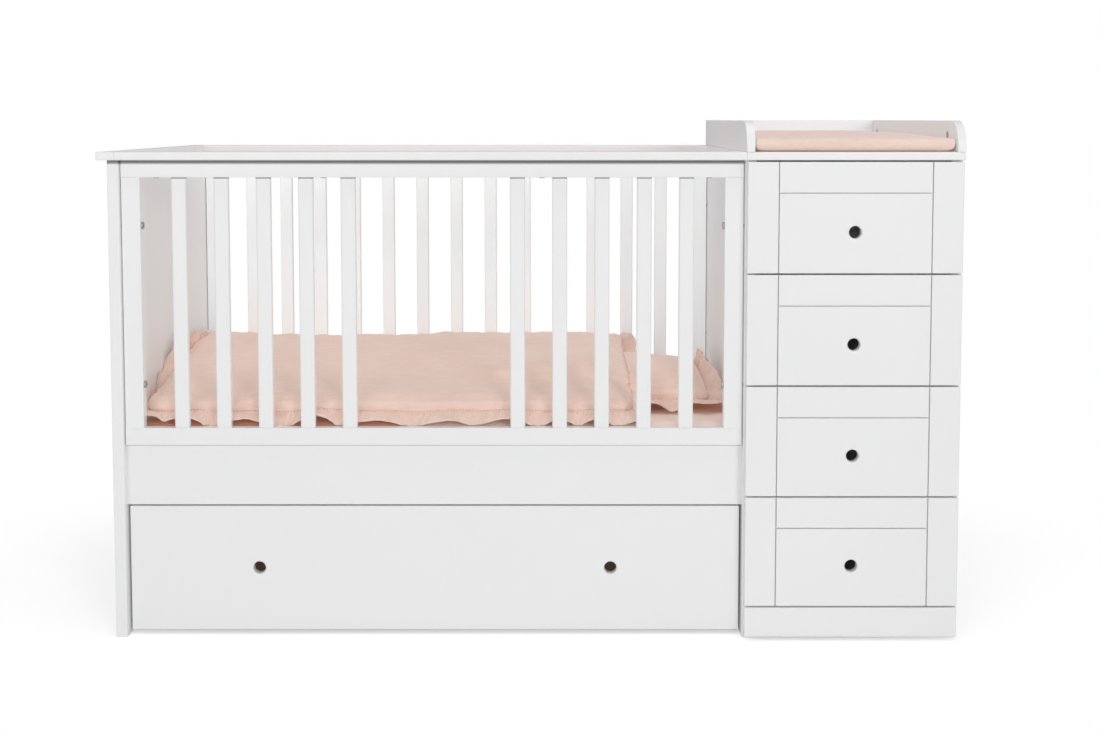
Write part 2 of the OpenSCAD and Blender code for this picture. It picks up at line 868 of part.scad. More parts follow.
// A side wall with its front top corner rounded
module tray_wall(x) {
    difference() {
        intersection() {
            board_y([x, y_front, z_rim], [wall_t, total_d, wall_h], wall_r);
            board_z([x, y_front, z_rim], [wall_t, total_d, wall_h], wall_r);
        }
        difference() {
            translate([x - cut, y_front - cut, z_wall - wall_corner_r])
                cube([wall_t + 2 * cut, wall_corner_r + cut, wall_corner_r + cut]);
            rod_x([x - 2 * cut, y_front + wall_corner_r, z_wall - wall_corner_r],
                wall_corner_r, wall_t + 4 * cut);
        }
    }
}

module cam_pockets(x) {
    for (d = [cam_front, cam_rear]) {
        rod_x([x, y_front + d, z_rim + cam_up], cam_r + joint_play, cam_d + cut);
    }
}

module tray_wall_left() {
    color(lacquer) difference() {
        tray_wall(x_crib_1);
        cam_pockets(x_crib_1 + wall_t - cam_d);
    }
}

module tray_wall_right() {
    color(lacquer) difference() {
        tray_wall(x_right - wall_t);
        cam_pockets(x_right - wall_t - cut);
    }
}

module tray_wall_back() {
    color(lacquer) eased_board([x_crib_1 + wall_t, y_back - wall_t, z_rim],
        [x_right - x_crib_1 - 2 * wall_t, wall_t, wall_h], wall_r);
}

module cam_fittings() {
    color(steel) for (d = [cam_front, cam_rear]) {
        rod_x([x_crib_1 + wall_t - cam_d, y_front + d, z_rim + cam_up], cam_r, cam_d);
        rod_x([x_right - wall_t, y_front + d, z_rim + cam_up], cam_r, cam_d);
    }
}

// ---- soft pieces ----

// Cushion between two corners, with a crowned top, sides drawn in by pull, and a seam at seam_z
module cushion(x0, x1, y0, y1, z0, z1, seam_z, nx, ny, square, pull) {
    hem = 1;
    place = function(u, v) let (cu = crowd(u), cv = crowd(v))
        [(x0 + x1) / 2 + cu * ((x1 - x0) / 2 - pull * (1 - cv * cv)),
         (y0 + y1) / 2 + cv * ((y1 - y0) / 2 - pull * (1 - cu * cu))];
    rise = function(u, v) swell(crowd(u), square) * swell(crowd(v), square);
    soft_solid(nx, ny,
        function(u, v) [each place(u, v), seam_z + hem + (z1 - seam_z - hem) * rise(u, v)],
        function(u, v) [each place(u, v), seam_z - hem - (seam_z - hem - z0) * rise(u, v)]);
}

module mattress() {
    color(linen) cushion(x_crib_0 + mattress_end_gap, x_crib_1 - mattress_end_gap,
        y_bed_0 + mattress_side_gap, y_bed_1 - mattress_side_gap,
        base_z, z_mattress, base_z + mattress_t / 2, nx = 18, ny = 14, square = 10, pull = 0);
}

module changing_pad() {
    y1 = y_back - wall_t - pad_gap;
    color(linen) cushion(x_crib_1 + wall_t + pad_gap, x_right - wall_t - pad_gap, y1 - pad_l, y1,
        z_rim, z_rim + pad_t, z_rim + pad_seam_up, nx = 16, ny = 16, square = 4, pull = 3);
}

// Pillow: a gathered edge at mid height round a middle that is crowned above and below
x_pillow_1 = x_crib_1 - pillow_end_gap;
x_pillow_0 = x_pillow_1 - pillow_l;
y_pillow_0 = y_bed_mid - pillow_w / 2 - pillow_forward;
y_pillow_1 = y_pillow_0 + pillow_w;
pillow_square = 2.5;

// Height of the pillow's crown at x, y, from 0 at the seam to 1 in the middle
function pillow_rise(x, y) =
    let (cx = (x - (x_pillow_0 + x_pillow_1) / 2) / (pillow_l / 2 - ruffle),
         cy = (y - (y_pillow_0 + y_pillow_1) / 2) / (pillow_w / 2 - ruffle))
    swell(min(1, abs(cx)), pillow_square) * swell(min(1, abs(cy)), pillow_square);

// Height of the pillow's top above its underside at x, y, with its edge's waves at their highest
function pillow_top(x, y) =
    let (edge = pillow_seam_up + 2 * ruffle_wave + ruffle_t)
    edge + max(0, pillow_t - edge) * pillow_rise(x, y);

module pillow() {
    z0 = z_mattress + soft_gap;
    waves_along = 7.5;
    waves_across = 5;
    place = function(u, v) [x_pillow_0 + u * pillow_l, y_pillow_0 + v * pillow_w];
    // Share of the full waves, which fade out where the crown begins
    rim = function(p) 1 - min(1, 4 * pillow_rise(p.x, p.y));
    waves = function(u, v) ruffle_wave * (1 + cos(360 * waves_along * u) * cos(360 * waves_across * v));
    seam = function(u, v) pillow_seam_up + rim(place(u, v)) * waves(u, v);
    color(linen) soft_solid(nx = 28, ny = 20,
        top = function(u, v) let (p = place(u, v), s = seam(u, v) + ruffle_t)
            [each p, z0 + s + (pillow_t - s) * pillow_rise(p.x, p.y)],
        under = function(u, v) let (p = place(u, v))
            [each p, z0 + seam(u, v) * (1 - pillow_rise(p.x, p.y))]);
}

// Share by which the duvet's underside lifts off the mattress at x, y to pass over the pillow
function over_pillow(x, y) =
    let (lead = 2 * ruffle)
    blend(x, x_pillow_0 - lead, x_pillow_0)
        * blend(y, y_pillow_0 - lead, y_pillow_0)
        * (1 - blend(y, y_pillow_1, y_pillow_1 + 1.5 * lead));

// Duvet: a thick quilt whose front edge ends in a gathered strip
module duvet() {
    x0 = x_crib_0 + duvet_end_gap;
    y0 = y_bed_0 + soft_gap;
    y1 = y_bed_1 - duvet_back_gap;
    z0 = z_mattress + soft_gap;
    // Rows from front to back, as shares of the depth: three down the strip, then the quilt's
    rows = [0, 0.008, 0.018, 0.1, 0.24, 0.4, 0.58, 0.76, 0.9, 0.97, 1];
    strip = [0.1, 0.55, 1];
    crown = [0.47, 0.63, 0.78, 0.92, 1, 0.94, 0.65, 0.2];
    heights = concat(duvet_front_h * strip, duvet_h * crown);
    // How far each row follows the gathers, whose depth is a share of the strip's
    gather = [for (j = [0:len(rows) - 1]) ruffle / 8 * max(0, 1 - 0.5 * j)];
    // The quilt thins to 0.65 of its height at the left end, and to 0.85 at the right end
    ends = function(u) 1 - 0.35 * (1 - blend(u, 0, 0.06)) - 0.15 * blend(u, 0.94, 1);
    quilt_t = 2 * ruffle_t;
    row = function(v) round(v * (len(rows) - 1));
    place = function(u, v) let (j = row(v))
        [x0 + u * duvet_l, y0 + rows[j] * (y1 - y0) + gather[j] * (1 - cos(360 * gathers * u))];
    // Least height of the underside and of the top over the pillow
    clear = function(p, room) over_pillow(p.x, p.y) * (pillow_top(p.x, p.y) + room);
    color(linen) soft_solid(nx = 3 * gathers, ny = len(rows) - 1,
        top = function(u, v) let (p = place(u, v))
            [each p, z0 + max(heights[row(v)] * ends(u), clear(p, 4 * quilt_t))],
        under = function(u, v) let (p = place(u, v)) [each p, z0 + clear(p, 2 * quilt_t)]);
}

left_end_panel();
shared_side_panel();
right_side_panel();
cap_left();
cap_front();
cap_back();
cap_screws();
front_top_rail();
front_bottom_rail();
front_stile_left();
front_stile_right();
front_slats_left();
front_slats_right();
back_top_rail();
back_bottom_rail();
back_stiles();
back_slats();
frame_bolts();
front_fascia();
rear_board();
base_battens();
base_slats();
mattress();
duvet();
pillow();
cabinet_top();
cabinet_bottom();
cabinet_back();
plinth();
cabinet_runners();
tray_wall_left();
tray_wall_right();
tray_wall_back();
cam_fittings();
changing_pad();
drawer_front(1);  // drawer_1_front
drawer_box(1);  // drawer_1_box
drawer_bottom(1);  // drawer_1_bottom
drawer_runners(1);  // drawer_1_runners
drawer_front(2);  // drawer_2_front
drawer_box(2);  // drawer_2_box
drawer_bottom(2);  // drawer_2_bottom
drawer_runners(2);  // drawer_2_runners
drawer_front(3);  // drawer_3_front
drawer_box(3);  // drawer_3_box
drawer_bottom(3);  // drawer_3_bottom
drawer_runners(3);  // drawer_3_runners
drawer_front(4);  // drawer_4_front
drawer_box(4);  // drawer_4_box
drawer_bottom(4);  // drawer_4_bottom
drawer_runners(4);  // drawer_4_runners
bed_drawer_front();
bed_drawer_box();
bed_drawer_bottom();
castor_housings();
castor_axles();
castor_wheels_front();
castor_wheels_rear();
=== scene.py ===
# %% [markdown]
# # A white crib with a cabinet of drawers, made ready for its picture
#
# The woodwork comes ready from the CAD frame, to the millimetre. What is left to do here is
# what a photographer and a seamstress would do: put up the camera and the lamps, give every
# board, bolt and wheel its finish, and sew the bedding, which the frame holds only as plain
# stand-in solids. Lengths are in metres, X runs along the crib, Y goes away from the camera
# and Z goes up from the floor.

# %% Load the frame
import json
import math
import bmesh
import bpy
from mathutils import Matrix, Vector, noise
from mathutils.bvhtree import BVHTree


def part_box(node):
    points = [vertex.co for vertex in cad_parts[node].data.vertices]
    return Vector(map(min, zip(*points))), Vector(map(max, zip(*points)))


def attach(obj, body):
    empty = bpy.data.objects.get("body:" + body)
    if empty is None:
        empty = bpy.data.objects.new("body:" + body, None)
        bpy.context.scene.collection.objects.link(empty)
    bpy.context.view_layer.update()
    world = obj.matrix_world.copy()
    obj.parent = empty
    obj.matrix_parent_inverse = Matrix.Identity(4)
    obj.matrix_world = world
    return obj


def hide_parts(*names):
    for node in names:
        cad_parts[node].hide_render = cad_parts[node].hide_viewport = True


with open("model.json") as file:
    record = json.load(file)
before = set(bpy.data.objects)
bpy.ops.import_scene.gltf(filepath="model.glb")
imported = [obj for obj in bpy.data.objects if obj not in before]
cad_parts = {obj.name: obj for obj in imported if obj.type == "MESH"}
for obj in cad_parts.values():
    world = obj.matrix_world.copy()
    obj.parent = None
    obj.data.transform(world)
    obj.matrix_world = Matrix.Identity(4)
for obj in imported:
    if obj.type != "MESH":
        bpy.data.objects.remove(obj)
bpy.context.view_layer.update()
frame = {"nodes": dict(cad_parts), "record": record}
MM = 0.001

# %% [markdown]
# ## The camera
#
# A camera's place can be guessed and nudged, or worked out. Here it was worked out: the front
# and the back rows of slats have one pitch, so the ratio of their widths in the picture gives
# how far away the camera stood, and the line where both rails look level gives its height.
# The photographer held the camera level and shifted the frame down. We tip it a little and
# shift it less, because the picture stays the same to within a few millimetres, and a strong
# shift would spoil views from other sides.

# %% Camera
PICTURE_WIDTH = 1100
FOCAL_PIXELS = 1321.3
TIP = math.radians(3.5)

lens = bpy.data.cameras.new("camera")
lens.sensor_fit = "HORIZONTAL"
lens.sensor_width = 36.0
lens.lens = 36.0 * FOCAL_PIXELS / PICTURE_WIDTH
lens.shift_x = -0.0037
lens.shift_y = -0.152
camera = bpy.data.objects.new("camera", lens)
camera.location = (0.0446, -2.876, 1.020)
camera.rotation_euler = (math.pi / 2 - TIP, 0, 0)
bpy.context.scene.collection.objects.link(camera)
bpy.context.scene.camera = camera
bpy.context.scene.view_settings.view_transform = "Standard"
print("camera: lens", round(lens.lens, 2), "mm")

# %% [markdown]
# ## Lamps and sky
#
# White furniture on white is shaped by shade alone, so the lamps must be large and calm. A
# grey sky lights everything evenly. A wide key lamp low at the front right lets the slats
# throw soft shadows to the left over the bedding, a larger, weaker one at the front left
# fills them, and one high above reaches down into the crib. A studio would also stand white
# boards all round, so that no side goes dull. Four weak lamps without shadows do that here,
# and light linking says which pieces each of them passes by: a board behind the drawers would
# otherwise shine through them, and the finger holes would glow. Pink bedding throws pink
# light on what stands behind it, so the back frame and the tray's back wall each have a
# bluish board to themselves, and the frame's two ends, which lie in the panels' shadow, have
# a small strip each. The levels are chosen so that a colour renders about as it is written.
# The background looks white because the sky shows white to the camera alone, which puts no
# more light on the crib.

# %% Sky and lamps
SKY_LEVEL = 0.42

world = bpy.data.worlds.new("sky")
bpy.context.scene.world = world
world.use_nodes = True
sky = world.node_tree
sky.nodes.clear()
seen = sky.nodes.new("ShaderNodeLightPath")
dome = sky.nodes.new("ShaderNodeBackground")
dome.inputs["Color"].default_value = (1, 1, 1, 1)
dome.inputs["Strength"].default_value = SKY_LEVEL
white = sky.nodes.new("ShaderNodeBackground")
white.inputs["Color"].default_value = (1, 1, 1, 1)
white.inputs["Strength"].default_value = 1.0
choice = sky.nodes.new("ShaderNodeMixShader")
out = sky.nodes.new("ShaderNodeOutputWorld")
sky.links.new(seen.outputs["Is Camera Ray"], choice.inputs[0])
sky.links.new(dome.outputs[0], choice.inputs[1])
sky.links.new(white.outputs[0], choice.inputs[2])
sky.links.new(choice.outputs[0], out.inputs["Surface"])


def lamp(name, place, target, size, level):
    """A square lamp whose light on a surface facing it at the target has the given level."""
    light = bpy.data.lights.new(name, "AREA")
    light.shape = "SQUARE"
    light.size = size
    away = Vector(target) - Vector(place)
    light.energy = level * math.pi ** 2 * away.length_squared
    holder = bpy.data.objects.new(name, light)
    holder.location = place
    holder.rotation_euler = away.to_track_quat("-Z", "Y").to_euler()
    bpy.context.scene.collection.objects.link(holder)
    return holder


INSIDES = ("_box", "_bottom", "_runners", "cabinet_back")


def pieces_for_lamp(name, endings, state):
    """The frame's pieces with these endings as a collection that a lamp passes by, for the
    state EXCLUDE, or is made for, for the state INCLUDE."""
    group = bpy.data.collections.new(name)
    for node, piece in frame["nodes"].items():
        if node.endswith(endings):
            group.objects.link(piece)
    for entry in group.collection_objects:
        entry.light_linking.link_state = state
    return group


insides = pieces_for_lamp("left_out_of_front_lamps", INSIDES, "EXCLUDE")

MIDDLE = (0.0, -0.1, 0.55)
key = lamp("key", (2.4, -5.6, 2.10), MIDDLE, 1.4, 0.185)
fill = lamp("fill", (-1.8, -4.4, 1.70), MIDDLE, 2.2, 0.150)
above = lamp("above", (0.1, -0.6, 4.2), MIDDLE, 2.6, 0.29)
for holder in (key, fill):
    holder.light_linking.receiver_collection = insides
print("lamps:", *(round(holder.data.energy, 1) for holder in (key, fill, above)), "watts")


def white_board_light(name, travels, level, left_out, colour=(1, 1, 1)):
    """Even light without shadows or glints that travels one way and passes some pieces by."""
    light = bpy.data.lights.new(name, "SUN")
    light.energy = level * math.pi
    light.color = colour
    light.use_shadow = False
    light.angle = math.radians(60)
    holder = bpy.data.objects.new(name, light)
    holder.rotation_euler = Vector(travels).to_track_quat("-Z", "Y").to_euler()
    holder.visible_glossy = False
    holder.light_linking.receiver_collection = left_out
    bpy.context.scene.collection.objects.link(holder)


behind_fronts = pieces_for_lamp("left_out_of_board_behind",
                                INSIDES + ("_front", "fascia", "plinth", "front_bottom_rail"), "EXCLUDE")
beside_drawers = pieces_for_lamp("left_out_of_board_at_left", INSIDES + ("right_side_panel",), "EXCLUDE")
beside_crib = pieces_for_lamp("left_out_of_board_at_right", INSIDES + ("shared_side_panel",), "EXCLUDE")
below_bed = pieces_for_lamp("left_out_of_board_in_front", INSIDES + ("rear_board", "base_slats"), "EXCLUDE")
back_frame = pieces_for_lamp("back_frame_alone", ("back_slats", "back_stiles", "back_top_rail",
                                                  "back_bottom_rail"), "INCLUDE")
tray_back = pieces_for_lamp("tray_back_alone", ("tray_wall_back",), "INCLUDE")
white_board_light("board_in_front", (0, 1, -0.05), 0.045, below_bed)
white_board_light("board_at_left", (1, 0, 0), 0.04, beside_drawers)
white_board_light("board_at_right", (-1, 0, 0), 0.055, beside_crib)
white_board_light("board_behind", (0, -1, -0.05), 0.42, behind_fronts)
white_board_light("board_for_back_frame", (0.3, 1, -0.05), 0.29, back_frame, (0.76, 0.96, 1.0))
white_board_light("board_for_tray_back", (0, 1, -0.05), 0.16, tray_back, (0.45, 0.85, 1.0))
for name, x, level in (("strip_left", -0.77, 0.17), ("strip_right", 0.39, 0.13)):
    strip = lamp(name, (x, 0.08, 0.72), (x, 0.31, 0.72), 0.12, level)
    strip.data.shape, strip.data.size_y = "RECTANGLE", 0.60
    strip.data.use_shadow = False
    strip.data.energy *= 1.9
    strip.light_linking.receiver_collection = back_frame

# %% [markdown]
# ## Sums on sockets
#
# A finish is a web of nodes, and most of the nodes are plain arithmetic. Wiring each by hand
# is slow to write and slower to read. `Wire` wraps a socket and overloads the operators, so
# that `1 - mask * 0.3` adds its Math nodes by itself. Every other node comes from one method,
# which takes the node's kind, its settings and what goes into its sockets.

# %% Wire and Finish
class Wire:
    """A socket that can be added, subtracted, multiplied and divided."""

    def __init__(self, finish, socket):
        self.finish, self.socket = finish, socket

    def sum(self, operation, other, swapped=False):
        first, second = (other, self) if swapped else (self, other)
        return self.finish.node("Math", {"operation": operation}, {0: first, 1: second})

    def __add__(self, other):
        return self.sum("ADD", other)

    def __radd__(self, other):
        return self.sum("ADD", other)

    def __sub__(self, other):
        return self.sum("SUBTRACT", other)

    def __rsub__(self, other):
        return self.sum("SUBTRACT", other, True)

    def __mul__(self, other):
        return self.sum("MULTIPLY", other)

    def __rmul__(self, other):
        return self.sum("MULTIPLY", other)

    def __truediv__(self, other):
        return self.sum("DIVIDE", other)

    def __rtruediv__(self, other):
        return self.sum("DIVIDE", other, True)


class Finish:
    """One material, whose nodes all come from the method node()."""

    def __init__(self, name):
        self.material = bpy.data.materials.new(name)
        self.material.use_nodes = True
        self.tree = self.material.node_tree
        self.tree.nodes.clear()

    def node(self, kind, settings=None, inputs=None, output=0):
        made = self.tree.nodes.new("ShaderNode" + kind)
        for word, value in (settings or {}).items():
            if word == "stops":
                ramp = made.color_ramp.elements
                while len(ramp) < len(value):
                    ramp.new(1.0)
                for stop, (at, colour) in zip(ramp, value):
                    stop.position, stop.color = at, colour
            else:
                setattr(made, word, value)
        for name, value in (inputs or {}).items():
            socket = made.inputs[name]
            if isinstance(value, Wire):
                self.tree.links.new(value.socket, socket)
            elif hasattr(socket.default_value, "__len__") and len(socket.default_value) == 4:
                socket.default_value = (*value, 1.0)[:4]
            else:
                socket.default_value = value
        return Wire(self, made.outputs[output])

    def place(self, stretch=(1, 1, 1)):
        """The point's place on the object in metres, times stretch."""
        here = self.node("TexCoord", output="Object")
        return self.node("VectorMath", {"operation": "MULTIPLY"}, {0: here, 1: stretch})

    def cloud(self, scale, detail=2.0, stretch=(1, 1, 1)):
        """Soft noise with scale blots to the metre, from 0 to 1."""
        return self.node("TexNoise", {}, {"Vector": self.place(stretch), "Scale": scale, "Detail": detail})

    def tint(self, share, low, high):
        """A colour that goes from low to high as share goes from 0 to 1."""
        return self.node("Mix", {"data_type": "RGBA"}, {0: share, 6: low, 7: high}, 2)

    def ramp(self, value, low, high):
        """Zero below low, one above high, and a smooth rise between."""
        return self.node("MapRange", {"interpolation_type": "SMOOTHSTEP"},
                         {"Value": value, "From Min": low, "From Max": high})

    def bump(self, height, distance, strength=1.0):
        """A normal that follows height, a wire from 0 to 1, over a distance in metres."""
        return self.node("Bump", {}, {"Height": height, "Distance": distance, "Strength": strength})

    def skin(self, **sockets):
        """Ends the finish with a Principled shader. Spaces in socket names are written as _."""
        sockets = {name.replace("_", " "): value for name, value in sockets.items()}
        shader = self.node("BsdfPrincipled", {}, sockets)
        end = self.tree.nodes.new("ShaderNodeOutputMaterial")
        self.tree.links.new(shader.socket, end.inputs["Surface"])
        return self.material


print("Wire and Finish are ready")

# %% [markdown]
# ## The floor
#
# The photograph was cut out on white, but a thing that stands nowhere seems to float, so the
# floor keeps its shadow. Near the crib it is a matt white surface. Further out it fades into
# plain white that only the camera sees, and the edge of the floor disappears.

# %% Floor
FLOOR_RADIUS = 14.0
FLOOR_FADES_FROM, FLOOR_FADES_TO = 0.75, 1.7

floor_finish = Finish("floor_white")
spot = floor_finish.place((1.0, 1.7, 1.0))
reach = floor_finish.node("VectorMath", {"operation": "LENGTH"}, {0: spot}, "Value")
fade = floor_finish.ramp(reach, FLOOR_FADES_FROM, FLOOR_FADES_TO)
matt = floor_finish.node("BsdfDiffuse", {}, {"Color": (0.93, 0.93, 0.93)})
glow = floor_finish.node("Emission", {}, {"Color": (1, 1, 1), "Strength": 1.0})
looked_at = floor_finish.node("LightPath", output="Is Camera Ray")
lift = floor_finish.node("Emission", {}, {"Color": (1, 1, 1), "Strength": 0.30})
nothing = floor_finish.node("Emission", {}, {"Color": (0, 0, 0), "Strength": 0.0})
near_lift = floor_finish.node("MixShader", {}, {0: looked_at, 1: nothing, 2: lift})
near = floor_finish.node("AddShader", {}, {0: matt, 1: near_lift})
both = floor_finish.node("MixShader", {}, {0: fade * looked_at, 1: near, 2: glow})
floor_out = floor_finish.tree.nodes.new("ShaderNodeOutputMaterial")
floor_finish.tree.links.new(both.socket, floor_out.inputs["Surface"])

round_floor = bmesh.new()
bmesh.ops.create_circle(round_floor, cap_ends=True, segments=96, radius=FLOOR_RADIUS)
floor_mesh = bpy.data.meshes.new("floor")
round_floor.to_mesh(floor_mesh)
round_floor.free()
floor = bpy.data.objects.new("floor", floor_mesh)
floor.location = (0, 0, -0.0005)
floor_mesh.materials.append(floor_finish.material)
bpy.context.scene.collection.objects.link(floor)
print("floor: radius", FLOOR_RADIUS)

# %% [markdown]
# ## Finishes of the woodwork
#
# The boards are sprayed with satin white lacquer. It isn't a flat colour: the spray leaves a
# skin of tiny dimples like orange peel, the board under it waves by a few hundredths of a
# millimetre, and hands polish some spots more than others. One function makes it, and a
# second use of it, whiter and duller, makes the foil inside the drawers. Three more uses
# paint a narrow shadow into the lacquer on the front, right below the rim, the top rail and
# the bottom rail, where those edges stand out.

# %% Lacquer, foil and bare timber
def lacquer(name, low, high, shine, peel, under=None, reach=0.0, dark=0.8):
    """Sprayed paint between two whites, with its shine and the depth of its dimples. With under
    given, a painted shadow: on the front, the paint is darkened below the height under, as far
    down as reach and by the share dark, where an edge that stands out there would cast its shadow."""
    f = Finish(name)
    broad = f.cloud(2.6, 3.0)
    dimples = f.cloud(430.0, 1.0)
    swells = f.cloud(9.0, 1.0)
    touched = f.cloud(16.0, 4.0)
    skin = f.bump(dimples, peel, 0.5)
    skin = f.node("Bump", {}, {"Height": swells, "Distance": 0.0006, "Strength": 0.25, "Normal": skin})
    colour = f.tint(broad, low, high)
    # Painted shadow: a dark band mixed into the paint's colour below an overhanging edge.
    if under:
        back = f.node("SeparateXYZ", {}, {0: f.place()}, 1)
        height = f.node("SeparateXYZ", {}, {0: f.place()}, 2)
        shade = f.ramp(height, under - reach, under - 0.45 * reach) * f.ramp(back * -1.0, 0.300, 0.303)
        colour = f.tint(shade * dark, colour, (0.03, 0.03, 0.03))
    return f.skin(Base_Color=colour,
                  Roughness=shine + (touched - 0.5) * 0.14 + (dimples - 0.5) * 0.05,
                  Normal=skin, Coat_Weight=0.12, Coat_Roughness=0.22, IOR=1.47)


def timber(name, pale, brown, along):
    """Sanded softwood, whose grain runs along "X" or "Y"."""
    f = Finish(name)
    stretch = (1.2, 16, 16) if along == "X" else (16, 1.2, 16)
    wander = f.cloud(1.6, 2.0, stretch)
    rings = f.node("Math", {"operation": "SINE"}, {0: f.cloud(1.3, 3.0, stretch) * 46.0 + wander * 5.0})
    fibres = f.cloud(26.0, 4.0, stretch)
    grain = rings * 0.22 + 0.30 + fibres * 0.5
    knots = f.ramp(f.cloud(5.0, 1.0), 0.70, 0.78)
    colour = f.tint(knots * 0.6, f.tint(grain, pale, brown), (0.30, 0.17, 0.08))
    return f.skin(Base_Color=colour, Roughness=0.62 + (fibres - 0.5) * 0.25,
                  Normal=f.bump(grain, 0.0004, 0.6))


white_lacquer = lacquer("white_lacquer", (0.835, 0.835, 0.84), (0.86, 0.86, 0.86), 0.40, 0.00006)
# The same lacquer with a painted shadow below the rim, below the top rail and below the bottom rail's edge.
rim_painted_shadow = lacquer("white_lacquer_painted_shadow_below_rim", (0.835, 0.835, 0.84), (0.86, 0.86, 0.86), 0.40, 0.00006,
                     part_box("cap_front")[0].z, 10 * MM)
rail_painted_shadow = lacquer("white_lacquer_painted_shadow_below_rail", (0.835, 0.835, 0.84), (0.86, 0.86, 0.86), 0.40, 0.00006,
                      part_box("front_top_rail")[0].z, 3 * MM)
fascia_painted_shadow = lacquer("white_lacquer_painted_shadow_below_edge", (0.835, 0.835, 0.84), (0.86, 0.86, 0.86), 0.40, 0.00006,
                        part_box("front_bottom_rail")[0].z, 4 * MM, 0.5)
white_board = lacquer("white_board", (0.77, 0.77, 0.76), (0.80, 0.80, 0.79), 0.55, 0.00003)
slat_timber = timber("slat_timber", (0.72, 0.54, 0.33), (0.52, 0.34, 0.18), "Y")
batten_timber = timber("batten_timber", (0.70, 0.52, 0.32), (0.50, 0.33, 0.18), "X")
print("wood finishes are ready")

# %% [markdown]
# The metal parts are zinc plated steel: bolt and screw heads, cams and the drawers' runners.
# Zinc shows as a grey metal with small crystals that differ in shine. The castors and their
# housings are matt moulded plastic with a fine spark-eroded texture.

# %% Steel and plastic
def plated(name, low, high):
    """Zinc plate between two greys."""
    f = Finish(name)
    crystals = f.node("TexVoronoi", {}, {"Vector": f.place(), "Scale": 420.0}, "Color")
    patch = f.node("SeparateColor", {}, {0: crystals}, 0)
    brushed = f.cloud(60.0, 3.0, (1, 1, 14))
    return f.skin(Base_Color=f.tint(patch, low, high), Metallic=1.0,
                  Roughness=0.30 + patch * 0.10 + brushed * 0.10,
                  Normal=f.bump(brushed, 0.00003, 0.5))


def moulded(name, low, high):
    """Matt plastic between two greys."""
    f = Finish(name)
    grit = f.cloud(1500.0, 2.0)
    scuffs = f.cloud(45.0, 5.0)
    return f.skin(Base_Color=f.tint(scuffs, low, high), Roughness=0.50 + (grit - 0.5) * 0.2,
                  Normal=f.bump(grit, 0.00005, 0.7))


bright_steel = plated("bright_steel", (0.36, 0.37, 0.39), (0.52, 0.53, 0.55))
castor_plastic = moulded("castor_plastic", (0.020, 0.020, 0.022), (0.035, 0.035, 0.037))
print("metal and plastic finishes are ready")

# %% [markdown]
# ## Dress the frame
#
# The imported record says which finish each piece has, so the finishes are handed out from it.
# The base slats and their battens share one entry there, and here they part: the grain runs
# along each piece, which is across the bed in a slat and along it in a batten.

# %% Hand out the finishes
by_slot = {"white_lacquer": white_lacquer, "white_board": white_board,
           "raw_timber": slat_timber, "bright_steel": bright_steel,
           "castor_plastic": castor_plastic}
# The battens get their own timber. The other pieces here get the lacquer with a painted shadow below the edge
# above them.
by_name = {"base_battens": batten_timber, "front_top_rail": rim_painted_shadow, "left_end_panel": rim_painted_shadow,
           "front_slats_left": rail_painted_shadow, "front_slats_right": rail_painted_shadow,
           "front_fascia": fascia_painted_shadow}
slot_of = {part["node"]: part["material_slot"] for part in frame["record"]["subparts"]}
dressed = 0
for name, piece in frame["nodes"].items():
    finish = by_name.get(name) or by_slot.get(slot_of[name])
    if finish:
        piece.material_slots[0].material = finish
        dressed += 1
print("dressed", dressed, "of", len(frame["nodes"]), "frame pieces")

# %% [markdown]
# ## Cotton
#
# All the bedding is washed cotton in one dusty pink. Three things make cloth look like cloth:
# the weave, the crinkles that washing leaves, which on this bedding run along the crib, and
# the soft rim of light on its fuzz. The weave is two sets of threads, made from sines of the
# place, slanted a little so that they cross on upright sides as well. The crinkles are noise
# stretched along one direction. The sheet has a warm shade painted into its colour below the
# duvet's front hem and below the pillow, where the cloth above shades it.

# %% Cotton finish
THREADS = 2 * math.pi / (1.1 * MM)


def cotton(name, deep, pale, crinkle, depth, run=(6, 26, 20), painted_shade_share=None):
    """Woven cotton between two shades, with crinkles of a depth in metres stretched by run. The last
    argument, if given, is a function of the finish that gives the share of a painted warm shade."""
    f = Finish(name)
    across = f.node("VectorMath", {"operation": "DOT_PRODUCT"}, {0: f.place(), 1: (1, 0.06, 0.9)}, "Value")
    along = f.node("VectorMath", {"operation": "DOT_PRODUCT"}, {0: f.place(), 1: (-0.06, 1, 0.9)}, "Value")
    slub = f.cloud(75.0, 2.0, (1, 5, 5))
    warp = f.node("Math", {"operation": "SINE"}, {0: across * THREADS + slub * 2.0})
    weft = f.node("Math", {"operation": "SINE"}, {0: along * THREADS + slub * 2.0})
    weave = (warp * weft) * 0.5 + 0.5
    folds = f.node("TexNoise", {}, {"Vector": f.place(run), "Scale": crinkle, "Detail": 4.0,
                                    "Roughness": 0.55, "Distortion": 0.6})
    creases = f.cloud(34.0, 3.0)
    washed = f.cloud(5.0, 3.0)
    shade = folds * 0.45 + washed * 0.35 + weave * 0.10 + slub * 0.10
    fine = f.bump(weave, 0.00012, 0.35)
    soft = f.node("Bump", {}, {"Height": creases, "Distance": 0.0014, "Strength": 0.5, "Normal": fine})
    full = f.node("Bump", {}, {"Height": folds, "Distance": depth, "Strength": 0.8, "Normal": soft})
    colour = f.tint(f.ramp(shade, 0.30, 0.70), deep, pale)
    # Painted shade: a warm dark colour mixed in where other cloth lies above this one.
    if painted_shade_share:
        colour = f.tint(painted_shade_share(f), colour, PAINTED_WARM_SHADE)
    return f.skin(Base_Color=colour,
                  Roughness=0.86 + (folds - 0.5) * 0.10, Normal=full,
                  Sheen_Weight=0.12, Sheen_Roughness=0.5, Specular_IOR_Level=0.25)


